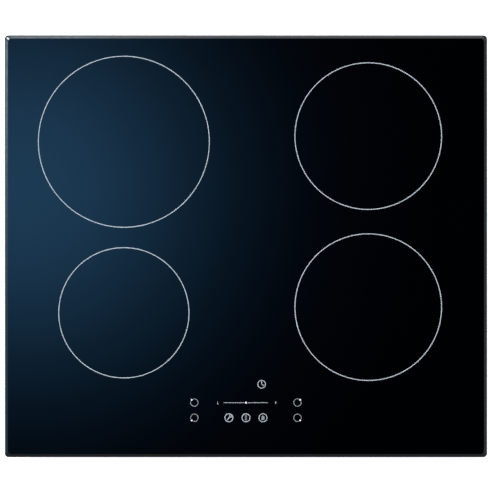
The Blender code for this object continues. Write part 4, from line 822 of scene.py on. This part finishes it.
# Coil units. Each side has one aluminium plate that floats on four springs and carries both its zones: a
# star of ferrite bars, a pale plastic former, the flat spiral of litz wire, a mica sheet over it and a
# silicone-capped temperature probe in its eye.
pale_moulding = drifting_finish("pale_moulding", (0.62, 0.59, 0.52), (0.74, 0.71, 0.64), 0.45, 0.6,
                                35.0, 1100.0, 0.2)
mica_sheet = drifting_finish("mica_sheet", (0.30, 0.25, 0.17), (0.50, 0.44, 0.33), 0.35, 0.65,
                             130.0, 900.0, 0.35)
silicone_pale = drifting_finish("moulded_silicone", (0.66, 0.65, 0.61), (0.78, 0.77, 0.73), 0.5, 0.65,
                                60.0, 1600.0, 0.1)
WINDING_PITCH = 0.00345
WINDING_EYE = 0.022
TURN_GAP = 0.0001
TURN_POINTS = 64
for side in ("left", "right"):
    finish_nodes(rolled_aluminium, f"coil_carrier_{side}")
    for end in ("rear", "front"):
        zone = f"{side}_{end}"
        finish_nodes(ferrite_dark, f"ferrite_set_{zone}")
        finish_nodes(pale_moulding, f"coil_former_{zone}")
        finish_nodes(mica_sheet, f"mica_sheet_{zone}")
        finish_nodes(silicone_pale, f"temperature_sensor_{zone}")
        low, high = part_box(f"coil_winding_{zone}")
        middle = (low + high) / 2
        wire_radius = (WINDING_PITCH - TURN_GAP) / 2
        reach = (high.x - low.x) / 2 - wire_radius
        start = WINDING_EYE + wire_radius
        turns = (reach - start) / WINDING_PITCH
        points = int(turns * TURN_POINTS)
        route = []
        for step in range(points + 1):
            angle = 2 * math.pi * turns * step / points
            out = start + (reach - start) * step / points
            route.append((middle.x + out * math.cos(angle), middle.y + out * math.sin(angle), middle.z))
        wire_piece(f"litz_winding_{zone}", [route], wire_radius, f"coil_unit_{side}",
                   litz_copper, (f"coil_winding_{zone}",), sides=1)

# Carrier springs. Bright steel wire, wound with closed end turns. They stand on the shelf, or on a post of
# the tray. In the hob they are pressed flatter as the coil unit goes down; here each is drawn at one length.
SPRING_WIRE = 0.0006
SPRING_TURNS = 5.0
CLOSED_TURNS = 0.85     # at each end
CLOSED_RISE = 2.08 * SPRING_WIRE
SPRING_POINTS = 24      # for each turn
spring_steel = drawn_finish("bright_spring_wire", (0.45, 0.45, 0.46), (0.60, 0.60, 0.61), 0.26,
                            (1.0, 1.0, 0.2))
flat = CLOSED_TURNS / SPRING_TURNS
steps = int(SPRING_TURNS * SPRING_POINTS)
for side in ("left", "right"):
    for row in ("outer", "inner"):
        for end in ("rear", "front"):
            node = f"carrier_spring_{side}_{row}_{end}"
            low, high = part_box(node)
            middle = (low + high) / 2
            out = (high.x - low.x) / 2 - SPRING_WIRE
            first, last = low.z + SPRING_WIRE, high.z - SPRING_WIRE
            route = []
            for step in range(steps + 1):
                share = step / steps
                angle = 2 * math.pi * SPRING_TURNS * share
                height = (first + CLOSED_RISE
                          + (last - first - 2 * CLOSED_RISE) * (share - flat) / (1 - 2 * flat))
                if share < flat:
                    height = first + CLOSED_RISE * share / flat
                elif share > 1 - flat:
                    height = last - CLOSED_RISE * (1 - share) / flat
                route.append((middle.x + out * math.cos(angle), middle.y + out * math.sin(angle), height))
            spring = wire_piece(f"coil_spring_{side}_{row}_{end}", [route], SPRING_WIRE, "hob_body",
                                spring_steel, (node,))
            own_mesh(spring)

# Touch controls. A moulded grey plastic tray holds the green touch board up under the glass, with a contact
# under each key. Its legs stand on the shelf and on the insulating tray.
finish_nodes(grey_moulding, "touch_board_carrier")
finish_nodes(board_green, "touch_board")

# Frame and seal. The frame is a steel angle bonded under the glass, and a black strip of closed-cell foam
# outside it lies on the worktop.
finish_nodes(zinc_sheet, "support_frame")
foam_black = drifting_finish("closed_cell_foam", (0.010, 0.010, 0.010), (0.022, 0.022, 0.022), 0.85, 0.98,
                             60.0, 1800.0, 0.9, specular=0.15)
finish_nodes(foam_black, "panel_seal")

# Glass panel. Black ceramic glass 4 mm thick, cut and ground to shape. Its rim is ground to two narrow
# polished facets that step down to the edge, and its underside is sprayed with a matt black coat.
glass_low, glass_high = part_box("glass_panel")
GLASS_HALF = ((glass_high.x - glass_low.x) / 2, (glass_high.y - glass_low.y) / 2)
GLASS_TOP = glass_high.z
CORNER_STEPS = 10
FACING_UP, FACING_DOWN = 0.999, -0.5
# how far in from the edge, how far below the top, and corner radius of each outline, from the bottom up
GLASS_OUTLINES = (
    (0.0003, 0.0040, 0.0047),
    (0.0, 0.0037, 0.0050),
    (0.0, 0.0021, 0.0050),
    (0.0015, 0.0008, 0.0048),
    (0.0040, 0.0, 0.0045),
)
black_glass = drifting_finish("black_ceramic_glass", (0.00008, 0.0002, 0.0005), (0.00016, 0.00036, 0.0009),
                              0.028, 0.042, 6.0, 60.0, 0.0)
ground_rim = drifting_finish("polished_ground_rim", (0.002, 0.003, 0.004), (0.004, 0.005, 0.007),
                             0.08, 0.13, 40.0, 600.0, 0.02)
glass_undercoat = drifting_finish("black_undercoat", (0.006, 0.006, 0.006), (0.012, 0.012, 0.012),
                                  0.5, 0.65, 20.0, 900.0, 0.1)

glass_shape = bmesh.new()
stack_outlines(glass_shape, [(GLASS_HALF[0] - inset, GLASS_HALF[1] - inset, corner, GLASS_TOP - drop)
                             for inset, drop, corner in GLASS_OUTLINES], CORNER_STEPS)
for face in glass_shape.faces:
    if face.normal.z < FACING_DOWN:
        face.material_index = 2
    elif face.normal.z < FACING_UP:
        face.material_index = 1
finish_piece("ceramic_glass", glass_shape, "hob_body",
             (black_glass, ground_rim, glass_undercoat), ("glass_panel",), crease=8.0)

# Printed marks. Pale ceramic ink, screen printed and fired on to the glass: a ring round each cooking zone,
# and round the touch keys at the front a timer clock, a slider from 1 to 9, a zone selector at each corner
# and three symbols: a tool, a bar for on and off, and a padlock. The ink stands a little proud, and the dots'
# bright ink is given a painted glow.
INK_UNDER = GLASS_TOP - 0.00002
INK_THICK = 0.00005
ZONE_LINE = 0.00095
ZONE_RINGS = (
    ("zone_ring_left_rear", -0.1492, 0.1277, 0.1045),
    ("zone_ring_left_front", -0.1492, -0.0813, 0.0796),
    ("zone_ring_right_rear", 0.1495, 0.1346, 0.0896),
    ("zone_ring_right_front", 0.1495, -0.0744, 0.0896),
)
KEY_ROWS = (-0.1910, -0.2096)
SELECT_X = 0.06305
SELECT_RING = 0.00455
SELECT_LINE = 0.00062
SELECT_DOT = 0.00105
SELECT_GAP = 50.0        # degrees of the ring left open round its dot
CLOCK_CENTRE = (0.0192, -0.1687)
CLOCK_RING = 0.0047
SYMBOL_LINE = 0.00088
SYMBOL_RING = 0.0049
SYMBOL_X = 0.02085
SLIDER_Y = -0.1912
SLIDER_HALF = 0.0269
SLIDER_LINE = 0.00078
SLIDER_GAP = 0.0021
SLIDER_DOT = 0.00115
DIGIT_HEIGHT = 0.0029
DIGIT_PLACES = (("1", -0.0346), ("9", 0.0363))
DIGIT_FOOT = ((-0.0355, -DIGIT_HEIGHT / 2), (-0.0335, -DIGIT_HEIGHT / 2))
CAP_SHARE = 0.7         # a digit's height as a share of its type size
MARK_LINE = 0.0006
MIDDLE_X = 0.00005
PAINTED_INK_GLOW = 0.35

pale_ink = drifting_finish("pale_fired_ink", (0.64, 0.65, 0.66), (0.74, 0.75, 0.76), 0.4, 0.55,
                           60.0, 2500.0, 0.15)
dim_ink = drifting_finish("dim_fired_ink", (0.44, 0.45, 0.46), (0.52, 0.53, 0.54), 0.4, 0.55,
                          60.0, 2500.0, 0.15)
bright_ink = drifting_finish("bright_ink_painted_glow", (0.84, 0.85, 0.86), (0.90, 0.91, 0.92), 0.35, 0.5,
                             60.0, 2500.0, 0.15)
# The bright ink also glows white. This is a painted glow: the printed dots give off no light of their own.
painted_glow_shader = bright_ink.node_tree.nodes["Principled BSDF"]
painted_glow_shader.inputs["Emission Color"].default_value = (1.0, 1.0, 1.0, 1.0)
painted_glow_shader.inputs["Emission Strength"].default_value = PAINTED_INK_GLOW


def print_arc(shape, centre, radius, line, start=0.0, sweep=360.0, steps=128):
    """A printed line along an arc, from a start angle counted anticlockwise from the right."""
    known = set(shape.verts)
    made = bmesh.ops.create_grid(shape, x_segments=1, y_segments=1, size=0.5)["verts"]
    bmesh.ops.scale(shape, vec=(line, INK_THICK, 1.0), verts=made)
    turn_points(shape, made, math.pi / 2, "X")
    bmesh.ops.translate(shape, verts=made, vec=(radius, 0.0, INK_UNDER + INK_THICK / 2))
    section = added_since(shape, known)
    ends = {face for vert in section for face in vert.link_faces}
    edges = {edge for vert in section for edge in vert.link_edges}
    whole = sweep >= 360.0
    if whole:
        bmesh.ops.delete(shape, geom=list(ends), context="FACES_ONLY")
        ends = set()
    bmesh.ops.spin(shape, geom=section + list(edges) + list(ends), axis=(0.0, 0.0, 1.0), cent=(0.0, 0.0, 0.0),
                   angle=math.radians(sweep), steps=steps, use_merge=whole)
    line_verts = added_since(shape, known)
    turn_points(shape, line_verts, math.radians(start))
    bmesh.ops.translate(shape, verts=line_verts, vec=(*centre, 0.0))


def print_spot(shape, centre, radius, steps=28):
    """A printed round dot."""
    made = bmesh.ops.create_cone(shape, cap_ends=True, segments=steps, radius1=radius, radius2=radius,
                                 depth=INK_THICK)["verts"]
    bmesh.ops.translate(shape, verts=made, vec=(centre[0], centre[1], INK_UNDER + INK_THICK / 2))


def print_stroke(shape, start, end, line):
    """A printed straight line with square ends."""
    run = Vector(end) - Vector(start)
    made = bmesh.ops.create_cube(shape, size=1.0)["verts"]
    bmesh.ops.scale(shape, vec=(run.length, line, INK_THICK), verts=made)
    turn_points(shape, made, math.atan2(run.y, run.x))
    middle = (Vector(start) + Vector(end)) / 2
    bmesh.ops.translate(shape, verts=made, vec=(middle.x, middle.y, INK_UNDER + INK_THICK / 2))


def print_digit(shape, text, centre, height):
    """A printed digit, from the outline of a plain typeface."""
    lettering = bpy.data.curves.new("digit", "FONT")
    lettering.body = text
    lettering.size = height / CAP_SHARE
    lettering.extrude = INK_THICK / 2
    lettering.offset = 0.00004
    lettering.resolution_u = 6
    made = add_drawn(shape, lettering)
    low = Vector([min(vert.co[axis] for vert in made) for axis in range(3)])
    high = Vector([max(vert.co[axis] for vert in made) for axis in range(3)])
    shift = Vector((centre[0], centre[1], INK_UNDER + INK_THICK / 2)) - (low + high) / 2
    bmesh.ops.translate(shape, verts=made, vec=shift)


def finish_print(name, shape, ink, centre=(0.0, 0.0)):
    """A printed mark, drawn about its centre, in its place on the glass."""
    bmesh.ops.translate(shape, verts=shape.verts, vec=(*centre, 0.0))
    bmesh.ops.recalc_face_normals(shape, faces=shape.faces)
    finish_piece(name, shape, "hob_body", (ink,))


for name, x, y, radius in ZONE_RINGS:
    ring = bmesh.new()
    print_arc(ring, (x, y), radius, ZONE_LINE, steps=192)
    finish_print(name, ring, pale_ink)

select_rings = bmesh.new()
bright_dots = bmesh.new()
for side in (-1, 1):
    for row, lean in zip(KEY_ROWS, (1, -1)):
        towards = math.degrees(math.atan2(lean, side))
        centre = (side * SELECT_X, row)
        print_arc(select_rings, centre, SELECT_RING, SELECT_LINE, towards + SELECT_GAP / 2,
                  360.0 - SELECT_GAP, 40)
        print_spot(bright_dots, (centre[0] + SELECT_RING * math.cos(math.radians(towards)),
                                 centre[1] + SELECT_RING * math.sin(math.radians(towards))), SELECT_DOT)
finish_print("zone_select_rings", select_rings, dim_ink)
print_spot(bright_dots, (MIDDLE_X, SLIDER_Y), SLIDER_DOT)
finish_print("zone_select_dots", bright_dots, bright_ink)

slider = bmesh.new()
for side in (-1, 1):
    print_stroke(slider, (side * SLIDER_HALF, 0.0), (side * SLIDER_GAP, 0.0), SLIDER_LINE)
finish_print("power_slider", slider, dim_ink, (0.0, SLIDER_Y))
digits = bmesh.new()
for text, x in DIGIT_PLACES:
    print_digit(digits, text, (x, 0.0), DIGIT_HEIGHT)
print_stroke(digits, *DIGIT_FOOT, MARK_LINE)
finish_print("slider_digits", digits, pale_ink, (0.0, SLIDER_Y))

clock = bmesh.new()
print_arc(clock, (0.0, 0.0), CLOCK_RING, SYMBOL_LINE, steps=48)
print_stroke(clock, (0.0, -0.0003), (0.0, 0.0032), SYMBOL_LINE)
print_stroke(clock, (0.0003, 0.0), (0.0026, -0.0015), SYMBOL_LINE)
finish_print("timer_clock", clock, pale_ink, CLOCK_CENTRE)

symbol_y = KEY_ROWS[1]
symbols = bmesh.new()
for x in (-SYMBOL_X, MIDDLE_X, SYMBOL_X):
    print_arc(symbols, (x, symbol_y), SYMBOL_RING, SYMBOL_LINE, steps=44)
finish_print("symbol_rings", symbols, pale_ink)

# The tool: a thick handle that leans to the right, and an open jaw by the ring.
spanner = bmesh.new()
print_stroke(spanner, (-0.0019, -0.0024), (0.0011, 0.0011), 2 * MARK_LINE)
print_arc(spanner, (0.0022, 0.0022), 0.0014, 0.0007, 80.0, 290.0, 20)
finish_print("tool_symbol", spanner, pale_ink, (-SYMBOL_X, symbol_y))

# The on and off bar: an upright outline with round ends.
BAR_HALF_WIDTH = 0.00075
BAR_STRAIGHT = 0.0023
BAR_LINE = 0.0005
bar = bmesh.new()
for side in (-1, 1):
    print_stroke(bar, (side * BAR_HALF_WIDTH, -BAR_STRAIGHT), (side * BAR_HALF_WIDTH, BAR_STRAIGHT), BAR_LINE)
    print_arc(bar, (0.0, side * BAR_STRAIGHT), BAR_HALF_WIDTH, BAR_LINE,
              0.0 if side > 0 else 180.0, 180.0, 14)
finish_print("on_off_symbol", bar, dim_ink, (MIDDLE_X, symbol_y))

# The padlock: a round shackle over a body with a keyhole.
padlock = bmesh.new()
print_arc(padlock, (0.0, 0.0010), 0.0012, MARK_LINE, 0.0, 180.0, 16)
for side in (-1, 1):
    print_stroke(padlock, (side * 0.0015, -0.0020), (side * 0.0015, 0.0006), MARK_LINE)
    print_stroke(padlock, (-0.0018, -0.0007 + side * 0.0014), (0.0018, -0.0007 + side * 0.0014), MARK_LINE)
print_spot(padlock, (0.0, -0.0007), 0.0007, 16)
finish_print("lock_symbol", padlock, pale_ink, (SYMBOL_X, symbol_y))

# Worktop clamps. Four bent arms of zinc-plated steel that swing out under the worktop, each on the screw that
# holds it under the shelf.
for side in ("left", "right"):
    for end in ("rear", "front"):
        finish_nodes(bright_zinc, f"worktop_clamp_{side}_{end}", f"clamp_screw_{side}_{end}")

# Mains terminal box. A grey plastic box under the rear shelf with a hinged lid, a row of screw terminals
# and the bar that grips the cable at the inlet in its side.
finish_nodes(grey_moulding, "terminal_box", "terminal_cover")
finish_nodes(white_moulding, "terminal_block")
finish_nodes(black_moulding, "cable_clamp")

# Rating plate. A blank plate of silvery foil with brushed lines, stuck flat under the floor of the housing.
# Nothing is printed on it.
label_foil = drawn_finish("label_foil", (0.62, 0.63, 0.64), (0.72, 0.73, 0.74), 0.34, (0.05, 1.0, 1.0), 0.6)
finish_nodes(label_foil, "rating_plate")
